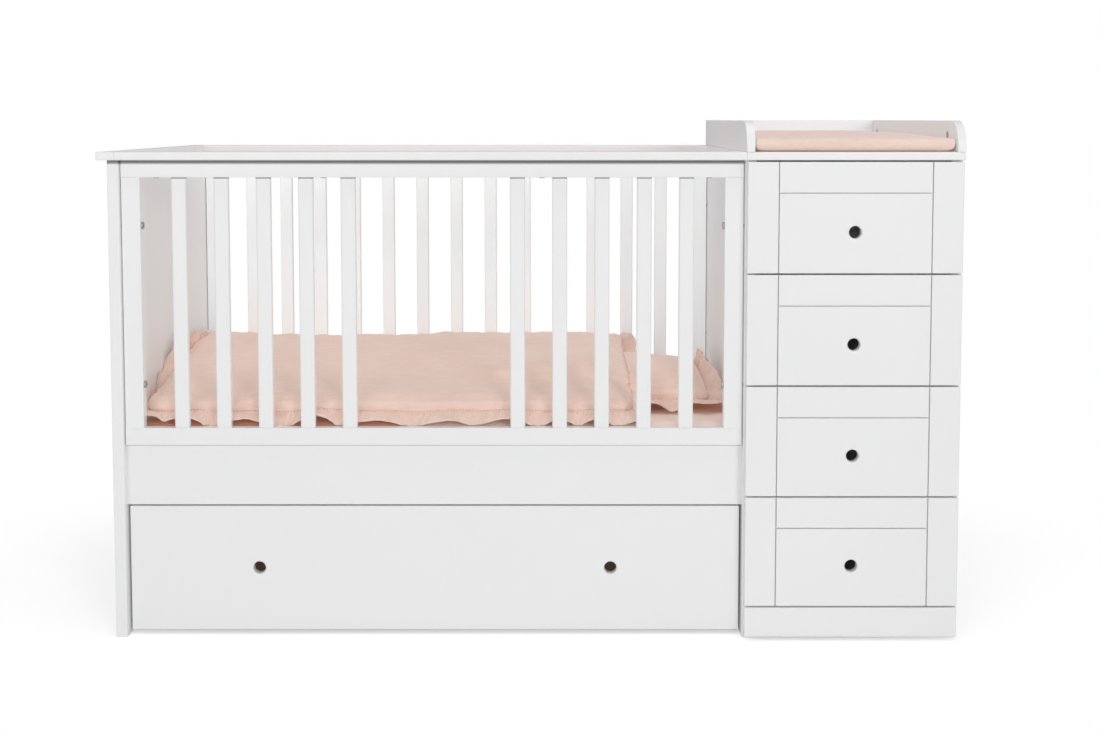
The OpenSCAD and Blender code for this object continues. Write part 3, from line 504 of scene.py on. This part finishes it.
def painted_shade_under_bedding(f):
    """Share of the painted warm shade: one below the duvet's front hem and below the pillow, and nothing
    elsewhere.
    """
    x, y = (f.node("SeparateXYZ", {}, {0: f.place()}, n) for n in (0, 1))
    pillow_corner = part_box("pillow")[0]
    left_of_pillow = 1.0 - f.ramp(x, pillow_corner.x - 0.010, pillow_corner.x + 0.010)
    below_pillow = f.ramp(y, pillow_corner.y - 0.010, pillow_corner.y + 0.070) * f.ramp(y * -1.0, -0.15, -0.10)
    below_hem = f.ramp(y * -1.0, 0.22, 0.26)
    return left_of_pillow * below_hem + (1.0 - left_of_pillow) * below_pillow


# The colour of the painted shade below the bedding's edges.
PAINTED_WARM_SHADE = (0.80, 0.40, 0.25)
PINK_DEEP, PINK_PALE = (0.800, 0.585, 0.500), (0.880, 0.675, 0.590)
bedding_cotton = cotton("bedding_cotton", PINK_DEEP, PINK_PALE, 5.0, 0.0022)
ruffle_cotton = cotton("ruffle_cotton", (0.770, 0.565, 0.485), (0.860, 0.655, 0.570), 9.0, 0.0018, (8, 8, 8))
sheet_cotton = cotton("sheet_cotton", (0.880, 0.680, 0.600), (0.930, 0.750, 0.670), 5.0, 0.0016,
                      painted_shade_share=painted_shade_under_bedding)
pad_cotton = cotton("pad_cotton", (0.815, 0.625, 0.545), (0.885, 0.705, 0.625), 7.0, 0.0012)


def thread(name, colour):
    """Twisted sewing thread. Its colour is darker than the cloth's, which also paints in the shade of the seam's
    crease.
    """
    f = Finish(name)
    twist = f.cloud(1200.0, 2.0)
    return f.skin(Base_Color=f.tint(twist, tuple(0.8 * c for c in colour), colour),
                  Roughness=0.6 + twist * 0.2, Normal=f.bump(twist, 0.0001, 0.6))


# The stitches are real thread, and their dark colour partly paints the shade in the crease along the seam.
thread_dark_for_seam_shade = thread("thread_dark_for_seam_shade", (0.50, 0.31, 0.25))
print("cotton finishes are ready")

# %% [markdown]
# ## Tools for soft shapes
#
# Every soft piece starts as a grid of points. A sheet is one grid. A filled piece is two,
# a top and an underside, which share their rim. The grids are then turned into an even skin
# of small squares, and a short cloth simulation blows that skin up from inside, so that it
# bulges and puckers as sewn cotton over filling does. A cap on how far each point may move
# keeps the piece the size that the frame gives it.

# %% Grids and pieces
def piece_of(name, points, faces, finish, slot, body="crib"):
    """A smooth mesh piece that rides on a body of the frame."""
    mesh = bpy.data.meshes.new(name)
    mesh.from_pydata([tuple(p) for p in points], [], faces)
    mesh.materials.append(finish)
    mesh.polygons.foreach_set("use_smooth", [True] * len(mesh.polygons))
    mesh.update()
    piece = bpy.data.objects.new(name, mesh)
    bpy.context.scene.collection.objects.link(piece)
    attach(piece, body)
    return piece


def lattice(columns, rows, place):
    """Points and faces of a grid whose point at shares u, v is place(u, v)."""
    points = [place(i / columns, j / rows) for j in range(rows + 1) for i in range(columns + 1)]
    wide = columns + 1
    faces = [(j * wide + i, j * wide + i + 1, (j + 1) * wide + i + 1, (j + 1) * wide + i)
             for j in range(rows) for i in range(columns)]
    return points, faces


def filled(columns, rows, top, under):
    """Points and faces of a closed skin between top(u, v) and under(u, v)."""
    points, faces = lattice(columns, rows, top)
    below, _ = lattice(columns, rows, under)
    start, wide = len(points), columns + 1
    faces = faces + [tuple(start + n for n in reversed(face)) for face in faces]
    rim = ([i for i in range(columns)] + [j * wide + columns for j in range(rows)]
           + [rows * wide + i for i in range(columns, 0, -1)] + [j * wide for j in range(rows, 0, -1)])
    faces += [(a, start + a, start + b, b) for a, b in zip(rim, rim[1:] + rim[:1])]
    return points + below, faces


def crowd(t):
    """From 0...1 to -1...1, with the points crowded towards both ends."""
    return -math.cos(math.pi * t)


def swell(c, square):
    """A crown over -1...1, rounder for a small square and boxier for a large one."""
    return max(0.0, 1 - abs(c) ** square) ** (1 / square)


def cornered(cu, cv, half, radius):
    """Offset from the middle of a rectangle of half sizes at cu, cv, each -1...1, with the
    corners rounded to a radius."""
    du, dv = cu * half.x, cv * half.y
    a = (abs(du) - half.x + radius) / radius
    b = (abs(dv) - half.y + radius) / radius
    if a > 0 and b > 0:
        du = math.copysign(half.x - radius + radius * a * math.sqrt(1 - b * b / 2), du)
        dv = math.copysign(half.y - radius + radius * b * math.sqrt(1 - a * a / 2), dv)
    return du, dv


def ease(t, low, high):
    """A smooth step from 0 at low to 1 at high."""
    s = min(1.0, max(0.0, (t - low) / (high - low)))
    return s * s * (3 - 2 * s)


def mix(share, low, high):
    return low + (high - low) * share


def settle(piece):
    """Puts the result of a piece's modifiers into its mesh."""
    view = bpy.context.evaluated_depsgraph_get()
    finished = bpy.data.meshes.new_from_object(piece.evaluated_get(view))
    piece.modifiers.clear()
    piece.data = finished
    finished.polygons.foreach_set("use_smooth", [True] * len(finished.polygons))


def even_skin(piece, voxel):
    """Rebuilds a closed piece from small squares of one size."""
    rebuild = piece.modifiers.new("even skin", "REMESH")
    rebuild.mode = "VOXEL"
    rebuild.voxel_size = voxel
    settle(piece)


def blow_up(piece, force, most, slack, held):
    """Twenty frames of cloth under pressure. No point moves further than most, and those
    for which held(place) is near 1 stay where they are."""
    scene = bpy.context.scene
    start = [v.co.copy() for v in piece.data.vertices]
    grip = piece.vertex_groups.new(name="held")
    for n, place in enumerate(start):
        grip.add([n], held(place), "REPLACE")
    cloth = piece.modifiers.new("cloth", "CLOTH")
    cloth.settings.quality = 4
    cloth.settings.mass = 0.25
    cloth.settings.tension_stiffness = 12
    cloth.settings.compression_stiffness = 12
    cloth.settings.shear_stiffness = 4
    cloth.settings.bending_stiffness = 0.35
    cloth.settings.use_pressure = True
    cloth.settings.uniform_pressure_force = force
    cloth.settings.shrink_min = -slack
    cloth.settings.effector_weights.gravity = 0
    cloth.settings.vertex_group_mass = "held"
    cloth.collision_settings.use_collision = False
    cloth.point_cache.frame_start, cloth.point_cache.frame_end = 1, 20
    for moment in range(1, 21):
        scene.frame_set(moment)
    view = bpy.context.evaluated_depsgraph_get()
    after = [v.co.copy() for v in piece.evaluated_get(view).data.vertices]
    piece.modifiers.clear()
    scene.frame_set(1)
    farthest, moved = 0.0, []
    for before, now in zip(start, after):
        step = now - before
        farthest = max(farthest, step.length)
        if step.length > most:
            step *= most / step.length
        moved.extend(before + step)
    piece.data.vertices.foreach_set("co", moved)
    piece.data.update()
    piece.vertex_groups.clear()
    print(piece.name, "blown up, farthest move", round(farthest / MM, 1), "mm, cap", round(most / MM, 1))


def shift_along_normals(piece, how_far):
    """Moves every point along its normal by how_far(place, normal)."""
    moved = []
    for v in piece.data.vertices:
        moved.extend(v.co + v.normal * how_far(v.co, v.normal))
    piece.data.vertices.foreach_set("co", moved)
    piece.data.update()


def smoother(piece, levels=1):
    """One more subdivision when the piece is drawn."""
    finer = piece.modifiers.new("finer", "SUBSURF")
    finer.levels = finer.render_levels = levels


def skin_tree(piece):
    """The piece's surface, for asking what lies under a point."""
    return BVHTree.FromPolygons([v.co.copy() for v in piece.data.vertices],
                                [tuple(p.vertices) for p in piece.data.polygons])


print("tools for soft shapes are ready")

# %% [markdown]
# ## Seams, gathered edges and stitches
#
# The duvet and the pillow have a gathered strip sewn all round, cut longer than the seam and
# pushed together along it. Seen from its edge such a strip winds like a river, and a river's
# bends are well drawn by a line whose direction swings as a sine. So the strip is built from
# that line: at the seam its folds are nearly closed, and towards the hem they open. A
# simulation could do this too, but it couldn't be told that the folds in front are long and
# flat while those at the ends are crowded.

# %% Rounded loop, gathered edge and stitches
def rounded_loop(low, high, radius, height, step=3 * MM):
    """Points along a rectangle with rounded corners, against the clock as seen from above and
    starting at the back, each with its outward direction. height(x, y) gives the height."""
    corners = [((low.x + radius, high.y - radius), 90), ((low.x + radius, low.y + radius), 180),
               ((high.x - radius, low.y + radius), 270), ((high.x - radius, high.y - radius), 0)]
    outline = []
    for (x, y), turn in corners:
        for n in range(13):
            a = math.radians(turn + 90 * n / 12)
            outline.append(Vector((x + radius * math.cos(a), y + radius * math.sin(a))))
    outline = outline[-1:] + outline
    loop = []
    for a, b in zip(outline, outline[1:]):
        count = max(1, round((b - a).length / step))
        away = Vector((b.y - a.y, a.x - b.x)).normalized()
        for n in range(count):
            p = a.lerp(b, n / count)
            loop.append((Vector((p.x, p.y, height(p.x, p.y))), Vector((away.x, away.y, 0))))
    return loop


def along(loop):
    """A function that gives the point and outward direction at a share of a closed loop."""
    places = [p for p, _ in loop]
    marks = [0.0]
    for a, b in zip(places, places[1:] + places[:1]):
        marks.append(marks[-1] + (b - a).length)
    total = marks[-1]

    def at(share):
        want = (share % 1.0) * total
        low, high = 0, len(loop)
        while high - low > 1:
            middle = (low + high) // 2
            low, high = (middle, high) if marks[middle] <= want else (low, middle)
        nxt = (low + 1) % len(loop)
        t = (want - marks[low]) / max(1e-9, marks[low + 1] - marks[low])
        return loop[low][0].lerp(loop[nxt][0], t), loop[low][1].lerp(loop[nxt][1], t).normalized()
    return at, total


def local_mean(values, reach):
    """Each value's mean over its neighbours up to reach places away."""
    sums = [0.0]
    for value in values:
        sums.append(sums[-1] + value)
    spans = [(max(0, n - reach), min(len(values), n + reach + 1)) for n in range(len(values))]
    return [(sums[high] - sums[low]) / (high - low) for low, high in spans]


def gathered_edge(name, loop, width, fold, lift, rest, finish, seed, inset=2.5 * MM):
    """A strip sewn along a loop. fold(place) is the pitch and height of its folds there and how
    far it is crumpled, lift(place, outward) its slope above level, and rest(place) keeps it
    off other things."""
    at, total = along(loop)
    step = 3 * MM
    gone, aside, phase, gones, asides = 0.0, 0.0, 0.0, [], []
    while gone < total:
        n = len(gones)
        pitch, height, _ = fold(at(gone / total)[0])
        height *= 1 + 1.1 * noise.noise(Vector((n * 0.017, seed, 7.7)))
        pitch *= 1 + 0.8 * noise.noise(Vector((n * 0.014, seed, 0.3)))
        arch = math.sin(phase) + 0.42 * math.sin(2 * phase) + 0.20 * math.sin(3 * phase)
        turn = min(1.2, math.pi * height / pitch) * arch
        phase += 2 * math.pi * step * math.cos(turn) / pitch
        gone += math.cos(turn) * step
        aside += math.sin(turn) * step
        gones.append(min(gone, total))
        asides.append(aside)
    steps, rows, points = len(gones), 9, []
    seam_at, calm = local_mean(gones, 21), local_mean(asides, 50)
    for j in range(rows + 1):
        t = j / rows
        for n in range(steps):
            seam, away = at(mix(t ** 0.6, seam_at[n], gones[n]) / total)
            slope = lift(seam, away)
            out = away * math.cos(slope) + Vector((0, 0, math.sin(slope)))
            up = -away * math.sin(slope) + Vector((0, 0, math.cos(slope)))
            ends = min(1.0, n / 16, (steps - 1 - n) / 16)
            wave = (asides[n] - calm[n]) * ends * (0.10 + 0.90 * t ** 0.9)
            crease = 0.3 - abs(noise.noise(Vector((n * step / (13 * MM) + t, 0.9 * t, seed))))
            lobe = noise.noise(Vector((n * step / (24 * MM) - t, 0.8 * t, seed + 3.3)))
            crumple = fold(seam)[2] * ends
            points.append(rest(seam + out * (t * width * (1 + 0.016 / MM * crumple * lobe) - inset)
                               + up * (wave - crease * ends * (10 - 7 * t) * MM + lobe * crumple * t), t, away))
    faces = [(j * steps + n, j * steps + (n + 1) % steps, (j + 1) * steps + (n + 1) % steps,
              (j + 1) * steps + n) for j in range(rows) for n in range(steps)]
    piece = piece_of(name, points, faces, finish, "bedding_cotton")
    thick = piece.modifiers.new("cloth thickness", "SOLIDIFY")
    thick.thickness, thick.offset = 1.3 * MM, 0.0
    smoother(piece)
    print(name, "is", round(steps * step, 2), "m of strip on", round(total, 2), "m of seam")
    return piece


def stitch_line(name, places, finish, slot, length=3.4 * MM, pitch=4.6 * MM, thick=0.7 * MM):
    """Single stitches along places, a list of (point, normal) pairs 1 mm or so apart."""
    points, faces, gone = [], [], pitch
    for (a, up), (b, _) in zip(places, places[1:]):
        gone += (b - a).length
        if gone < pitch or (b - a).length < 1e-6:
            continue
        gone = 0.0
        ahead = (b - a).normalized()
        side = ahead.cross(up).normalized()
        start = len(points)
        points += [a - ahead * length / 2, a + side * thick, a + up * thick, a - side * thick,
                   a - up * thick, a + ahead * length / 2]
        faces += [(start + 0, start + 2, start + 1), (start + 0, start + 3, start + 2),
                  (start + 0, start + 4, start + 3), (start + 0, start + 1, start + 4),
                  (start + 5, start + 1, start + 2), (start + 5, start + 2, start + 3),
                  (start + 5, start + 3, start + 4), (start + 5, start + 4, start + 1)]
    return piece_of(name, points, faces, finish, slot)


print("gathers and stitches are ready")

# %% [markdown]
# ## The mattress in its fitted sheet
#
# The mattress is a foam block in a stretched cotton sheet. Only its front edge and the part
# before the pillow show, but it carries all the rest. It is a box with soft edges, and the
# sheet over it has a few loose folds where it isn't pulled tight, made by moving the skin
# along its normals by stretched noise.

# %% Mattress
low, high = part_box("mattress")
MATTRESS_TOP = high.z
EDGE = 20 * MM


def rounded(depth, radius):
    """Height share of a rounded edge at a depth in from its rim."""
    t = min(1.0, max(0.0, depth / radius))
    return math.sqrt(1 - (1 - t) ** 2)


def mattress_face(side):
    mid, half = (low + high) / 2, (high - low) / 2

    def place(u, v):
        cu, cv = crowd(u), crowd(v)
        x, y = mid.x + cu * half.x, mid.y + cv * half.y
        inner = rounded((1 - abs(cu)) * half.x, EDGE) * rounded((1 - abs(cv)) * half.y, EDGE)
        return Vector((x, y, mid.z + side * mix(inner, half.z - EDGE, half.z)))
    return place


mattress = piece_of("mattress_in_sheet", *filled(60, 36, mattress_face(1), mattress_face(-1)),
                    sheet_cotton, "sheet_cotton")
even_skin(mattress, 9 * MM)


def sheet_folds(place, normal):
    """Loose folds on top, and gathers where the sheet is drawn in below the corners."""
    slant = noise.noise(Vector((place.x * 14 - place.y * 9, place.y * 22 + place.x * 6, place.z * 3)))
    loose = ease(place.x, 0.10, 0.28) * ease(-place.y, 0.05, 0.24)
    fold = (abs(slant) ** 0.7) * loose * 5.0 * MM
    corner = min(abs(place.x - low.x), abs(place.x - high.x)) + min(abs(place.y - low.y), abs(place.y - high.y))
    tug = math.sin(place.x * 520 + place.y * 520) * ease(0.12 - corner, 0, 0.10) * 1.2 * MM
    upright = 1 - abs(normal.z)
    wave = noise.noise(place * 9) * 1.0 * MM
    return fold * max(0, normal.z) + tug * upright + wave - 1.6 * MM


shift_along_normals(mattress, sheet_folds)
smoother(mattress)
below_bed.objects.link(mattress)
for entry in below_bed.collection_objects:
    entry.light_linking.link_state = "EXCLUDE"
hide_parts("mattress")
print("mattress: top at", round(MATTRESS_TOP, 4), "skin", len(mattress.data.vertices), "points")

# %% [markdown]
# ## The pillow
#
# A flat child's pillow lies at the cabinet's end, half under the duvet. Its cover has a
# gathered edge all round, sewn on at mid height, so the edge stands clear of the sheet in
# front, and at the end it is pressed up against the panel. The body is two crowned faces
# that meet at the seam. The cloth simulation fills it.

# %% Pillow body
RUFFLE = 38 * MM
PILLOW_CORNER = 18 * MM
low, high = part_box("pillow")
PILLOW_LOW = Vector((low.x + RUFFLE, low.y + RUFFLE, low.z))
PILLOW_HIGH = Vector((high.x - 14 * MM, high.y - 24 * MM, high.z))


def pillow_seam(x, y):
    """Height of the pillow's seam: mid height, and higher where it is pushed to the panel."""
    pushed = ease(x, 0.28, 0.36) * ease(y, -0.17, -0.02)
    return MATTRESS_TOP + 23 * MM + 11 * MM * pushed + 4 * MM * ease(y, -0.10, 0.12)


def pillow_face(side):
    mid, half = (PILLOW_LOW + PILLOW_HIGH) / 2, (PILLOW_HIGH - PILLOW_LOW) / 2
    top, floor_ = PILLOW_HIGH.z - 3 * MM, MATTRESS_TOP + 1.5 * MM

    def place(u, v):
        cu, cv = crowd(u), crowd(v)
        du, dv = cornered(cu, cv, half, PILLOW_CORNER)
        full = swell(cu, 2.8) * swell(cv, 2.8)
        seam = pillow_seam(mid.x + du, mid.y + dv)
        return Vector((mid.x + du, mid.y + dv, mix(full ** 0.8, seam, top if side > 0 else floor_)))
    return place


def rim_depth(place, low, high):
    """How far a place lies inside the nearest side of a rectangle."""
    return min(place.x - low.x, high.x - place.x, place.y - low.y, high.y - place.y)


pillow = piece_of("pillow_body", *filled(48, 36, pillow_face(1), pillow_face(-1)),
                  bedding_cotton, "bedding_cotton")
even_skin(pillow, 6 * MM)


def pillow_held(place):
    """The seam and the underside stay put."""
    rim = 1 - ease(rim_depth(place, PILLOW_LOW, PILLOW_HIGH), 6 * MM, 24 * MM)
    return max(rim, ease(MATTRESS_TOP + 6 * MM - place.z, 0, 3 * MM))


blow_up(pillow, 4.0, 5 * MM, 0.03, pillow_held)


def pillow_puckers(place, normal):
    """Small pleats that start at the seam and run out towards the middle."""
    rim = rim_depth(place, PILLOW_LOW, PILLOW_HIGH)
    pleat = noise.noise(Vector((place.x * 60, place.y * 60, 3.0)))
    return pleat * 1.6 * MM * (1 - ease(rim, 4 * MM, 45 * MM)) * max(0, normal.z)


shift_along_normals(pillow, pillow_puckers)
smoother(pillow)
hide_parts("pillow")
PANEL_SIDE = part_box("shared_side_panel")[0].x
print("pillow: body", [round(h - l, 3) for l, h in zip(PILLOW_LOW, PILLOW_HIGH)])

# %% Pillow's gathered edge and stitches
sheet_below = skin_tree(mattress)


def surface_under(tree, place, top=0.7):
    """Height of the surface straight below a place, or None."""
    hit = tree.ray_cast(Vector((place.x, place.y, top)), Vector((0, 0, -1)))
    return hit[0].z if hit[0] else None


def pillow_fold(place):
    """Long flat folds in front, and crowded ones where the edge is pushed against the panel."""
    at_panel = ease(place.x, PILLOW_HIGH.x - 0.03, PILLOW_HIGH.x)
    return mix(at_panel, 90, 50) * MM, mix(at_panel, 12, 13) * MM, mix(at_panel, 3, 12) * MM


def pillow_lift(seam, away):
    """A little below level in front and behind, and more and more up along the panel."""
    return math.radians(mix(ease(away.x, 0.3, 1.0), -12, mix(ease(seam.y, -0.17, 0.10), -10, 66)))


def pillow_edge_rest(place, t, away):
    """Keeps the gathered edge above the sheet and clear of the end panel."""
    floor_ = surface_under(sheet_below, place)
    if floor_ is not None and place.z < floor_ + 2 * MM:
        place.z = floor_ + 2 * MM
    place.x = min(place.x, PANEL_SIDE - 3 * MM)
    return place


pillow_edge_rest.rests_on = "mattress_in_sheet"
pillow_loop = rounded_loop(PILLOW_LOW, PILLOW_HIGH, PILLOW_CORNER, pillow_seam)
pillow_ruffle = gathered_edge("pillow_gathered_edge", pillow_loop, RUFFLE, pillow_fold,
                              pillow_lift, pillow_edge_rest, ruffle_cotton, 2.0)
stitch_line("pillow_stitches", [(p + a * 0.5 * MM + Vector((0, 0, 2.0 * MM)), Vector((0, 0, 1)))
                                for p, a in pillow_loop], thread_dark_for_seam_shade, "bedding_cotton")

# %% [markdown]
# ## The duvet
#
# The duvet is thick and light. It lies low at its front seam and rises towards the back,
# where it is crowded against the slats, and its right end rests on the pillow. A plain box
# with a crown would look like a cushion, so the crown is a slope from front to back with a
# quick roll at each rim, and its underside follows what it lies on.

# %% Duvet body
DUVET_CORNER = 36 * MM
low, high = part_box("duvet")
DUVET_LOW = Vector((low.x + 20 * MM, low.y + 24 * MM, low.z))
DUVET_HIGH = Vector((high.x - 31 * MM, high.y - 20 * MM, high.z))
pillow_below = skin_tree(pillow)


def on_pillow(x, y):
    """Share by which the duvet lies on the pillow, which fades out round it."""
    return (ease(x, PILLOW_LOW.x - 0.09, PILLOW_LOW.x) * ease(y, PILLOW_LOW.y - 0.09, PILLOW_LOW.y)
            * ease(-y, -PILLOW_HIGH.y - 0.09, -PILLOW_HIGH.y))


def duvet_rest(x, y):
    """Height of what the duvet lies on."""
    floor_ = MATTRESS_TOP + 2.5 * MM
    hit = surface_under(pillow_below, Vector((x, y, 0)))
    crown = hit if hit is not None else PILLOW_LOW.z + 26 * MM
    return max(floor_, mix(on_pillow(x, y), floor_, crown + 5 * MM))


def duvet_seam(x, y):
    """Height of the duvet's seam above the floor: low in front, and on the left end, where
    the edge is crowded against the panel, as high as the top."""
    back = ease(y, -0.25, 0.25)
    base = MATTRESS_TOP + mix(back, 20 * MM, 34 * MM) + 21 * MM * on_pillow(x, y) * (1 - back)
    crowded = MATTRESS_TOP + mix(ease(y, -0.16, 0.04), 20 * MM, 79 * MM) - 16 * MM * ease(y, 0.08, 0.25)
    base += 36 * MM * ease(x, 0.12, 0.205) * ease(y, 0.10, 0.24)
    sewn = noise.noise(Vector((x * 11, y * 11, 6.1))) * 5.0 * MM
    return mix(ease(-x, 0.728, 0.766), base, crowded) + sewn


def duvet_crown(x, y):
    """Height of the duvet's top, from a low front to a high back."""
    share = (y - DUVET_LOW.y) / (DUVET_HIGH.y - DUVET_LOW.y)
    rise = mix(ease(share, -0.25, 0.95), 35 * MM, DUVET_HIGH.z - MATTRESS_TOP)
    wave = noise.noise(Vector((x * 5.2, y * 7.0, 1.7))) * 3.0 * MM
    return MATTRESS_TOP + rise + wave


def duvet_top(u, v):
    cu, cv = crowd(u), crowd(v)
    mid, half = (DUVET_LOW + DUVET_HIGH) / 2, (DUVET_HIGH - DUVET_LOW) / 2
    du, dv = cornered(cu, cv, half, DUVET_CORNER)
    x, y = mid.x + du, mid.y + dv
    full = swell(cu, 14 if cu < 0 else 9) * swell(cv, 12 if cv < 0 else 4)
    height = max(duvet_crown(x, y), duvet_rest(x, y) + 9 * MM)
    return Vector((x, y, mix(full, duvet_seam(x, y), height)))


def duvet_under(u, v):
    place = duvet_top(u, v)
    full = swell(crowd(u), 6) * swell(crowd(v), 6)
    floor_ = min(duvet_rest(place.x, place.y), place.z - 6 * MM)
    return Vector((place.x, place.y, mix(full, duvet_seam(place.x, place.y), floor_)))


duvet = piece_of("duvet_body", *filled(96, 60, duvet_top, duvet_under), bedding_cotton, "bedding_cotton")
even_skin(duvet, 7.5 * MM)


def duvet_held(place):
    """The seam and the underside stay put."""
    rim = 1 - ease(rim_depth(place, DUVET_LOW, DUVET_HIGH), 5 * MM, 22 * MM)
    return max(rim, 1 - ease(place.z - duvet_rest(place.x, place.y), 3 * MM, 9 * MM))


blow_up(duvet, 3.0, 6 * MM, 0.03, duvet_held)


def duvet_puckers(place, normal):
    """Pleats drawn in by the seam, and long faint crinkles over the top."""
    at_seam = 1 - ease(rim_depth(place, DUVET_LOW, DUVET_HIGH), 5 * MM, 40 * MM)
    pleat = noise.noise(Vector((place.x * 75, place.y * 18, 5.0))) * at_seam
    side = noise.noise(Vector((place.x * 18, place.y * 75, 9.0))) * at_seam
    front = ease(-place.y, 0.20, 0.26)
    crinkle = noise.noise(Vector((place.x * 7, place.y * 42, 2.0)))
    return (mix(front, side, pleat) * 3.0 + crinkle * 0.6) * MM * ease(normal.z, -0.1, 0.3)


shift_along_normals(duvet, duvet_puckers)
smoother(duvet)
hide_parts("duvet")
print("duvet: body", [round(h - l, 3) for l, h in zip(DUVET_LOW, DUVET_HIGH)])

# %% [markdown]
# The duvet's gathered edge does something different on each side. In front it lies down
# over the edge of the mattress and touches the rail in tongues. On the left it stands up
# along the end panel, behind it hangs against the slats, and on the right it lies over the
# pillow. One strip does all four, with a slope that changes along the seam.

# %% Duvet's gathered edge and stitches
PANEL_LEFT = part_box("left_end_panel")[1].x
RAIL_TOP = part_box("front_bottom_rail")[1].z
RAIL_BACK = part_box("front_bottom_rail")[1].y
SLATS_FRONT_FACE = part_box("back_slats")[0].y


def duvet_fold(place):
    """Long flat folds in front and behind, shorter and deeper ones at the two ends."""
    end = max(ease(-place.x, 0.70, 0.75), ease(place.x, 0.14, 0.20))
    return mix(end, 125, 58) * MM, mix(end, 18, 12) * MM, mix(end, 4, 12) * MM


def duvet_lift(seam, away):
    """Down in front and behind, up along the left panel, nearly level on the right."""
    left = ease(-seam.x, 0.69, 0.755)
    right = ease(seam.x, 0.15, 0.205)
    slope = mix(left, -29, mix(ease(seam.y, -0.20, 0.02), 0, 64))
    return math.radians(mix(right, slope, mix(ease(seam.y, -0.2, 0.16), -34, 6) + 44 * ease(seam.y, 0.17, 0.25)))


def duvet_edge_rest(place, t, away):
    """Keeps the gathered edge above what it lies on and inside the crib."""
    for tree in (sheet_below, pillow_below):
        floor_ = surface_under(tree, place)
        if floor_ is not None and place.z < floor_ + 1.6 * MM:
            place.z = floor_ + 1.6 * MM
    if place.y < -0.300 and place.z < RAIL_TOP + 1.5 * MM:
        place.z = RAIL_TOP + 1.5 * MM
    place.x = max(place.x, PANEL_LEFT + 2.5 * MM)
    place.y = min(max(place.y, RAIL_BACK - 2.0 * MM), SLATS_FRONT_FACE - 2.5 * MM)
    return place


duvet_edge_rest.rests_on = "mattress_in_sheet"
duvet_loop = rounded_loop(DUVET_LOW, DUVET_HIGH, DUVET_CORNER, duvet_seam)
duvet_ruffle = gathered_edge("duvet_gathered_edge", duvet_loop, RUFFLE, duvet_fold,
                             duvet_lift, duvet_edge_rest, ruffle_cotton, 5.0)
stitch_line("duvet_stitches", [(p + a * 0.5 * MM + Vector((0, 0, 2.5 * MM)), Vector((0, 0, 1)))
                               for p, a in duvet_loop], thread_dark_for_seam_shade, "bedding_cotton")

# %% [markdown]
# ## The changing pad
#
# The pad fills the tray between its walls. It is a foam pad in a cotton cover of two halves,
# sewn together at mid height with a thin piping. Its edges are fuller than a pillow's, with
# a flat middle, so the crown is boxy, and the simulation only softens it.

# %% Changing pad
low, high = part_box("changing_pad")
PAD_SEAM = low.z + 16 * MM
PAD_EDGE = low.z + 26 * MM
PAD_CORNER = 4 * MM


def pad_face(side):
    """The top has a firm edge and then a slight crown. The underside is round at its rim."""
    mid, half = (low + high) / 2, (high - low) / 2 + Vector((2.2 * MM, -0.5 * MM, 0))

    def place(u, v):
        cu, cv = crowd(u), crowd(v)
        du, dv = cornered(cu, cv, half, PAD_CORNER)
        in_x, in_y = (1 - abs(cu)) * half.x, (1 - abs(cv)) * half.y
        turn = 6 * MM if side > 0 else 16 * MM
        full = min(rounded(in_x, turn), rounded(in_y, turn))
        crown = mix(ease(min(in_x, in_y), 0, 0.10), PAD_EDGE, high.z - 2 * MM)
        return Vector((mid.x + du, mid.y + dv, mix(full, PAD_SEAM, crown if side > 0 else low.z + 0.6 * MM)))
    return place


pad = piece_of("changing_pad_body", *filled(60, 72, pad_face(1), pad_face(-1)), pad_cotton, "pad_cotton")
even_skin(pad, 3.8 * MM)


def pad_held(place):
    rim = 1 - ease(rim_depth(place, low, high), 3 * MM, 10 * MM)
    return max(rim, 1 - ease(place.z, low.z + 3 * MM, low.z + 8 * MM))


blow_up(pad, 2.0, 2 * MM, 0.01, pad_held)


def pad_folds(place, normal):
    """Short wrinkles along the rim, and a faint unevenness on top."""
    at_rim = 1 - ease(rim_depth(place, low, high), 0, 0.07)
    side = noise.noise(Vector((place.x * 10, place.y * 10, place.z * 160))) * 0.7 * (1 - abs(normal.z))
    top = noise.noise(Vector((place.x * 34, place.y * 12, 4.0))) * 1.1 * ease(normal.z, 0.3, 0.9)
    return (side + top * (0.4 + 0.6 * at_rim)) * MM


shift_along_normals(pad, pad_folds)
smoother(pad)
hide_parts("changing_pad")
print("changing pad:", [round(h - l, 3) for l, h in zip(low, high)])


# %% Pad's piping
def piping(name, loop, radius, finish, slot):
    """A thin covered cord along a closed loop."""
    points, faces, around = [], [], 8
    count = len(loop)
    for n, (place, away) in enumerate(loop):
        for k in range(around):
            a = 2 * math.pi * k / around
            points.append(place + away * math.cos(a) * radius + Vector((0, 0, math.sin(a) * radius)))
    for n in range(count):
        for k in range(around):
            a, b = n * around + k, n * around + (k + 1) % around
            c, d = ((n + 1) % count) * around + (k + 1) % around, ((n + 1) % count) * around + k
            faces.append((a, b, c, d))
    return piece_of(name, points, faces, finish, slot)


inset = Vector((2.6 * MM, 2.6 * MM, 0))
pad_loop = rounded_loop(low + inset, high - inset, PAD_CORNER, lambda x, y: PAD_SEAM, 5 * MM)
pad_piping = piping("changing_pad_piping", pad_loop, 1.3 * MM, pad_cotton, "pad_cotton")
print("piping:", len(pad_piping.data.vertices), "points")
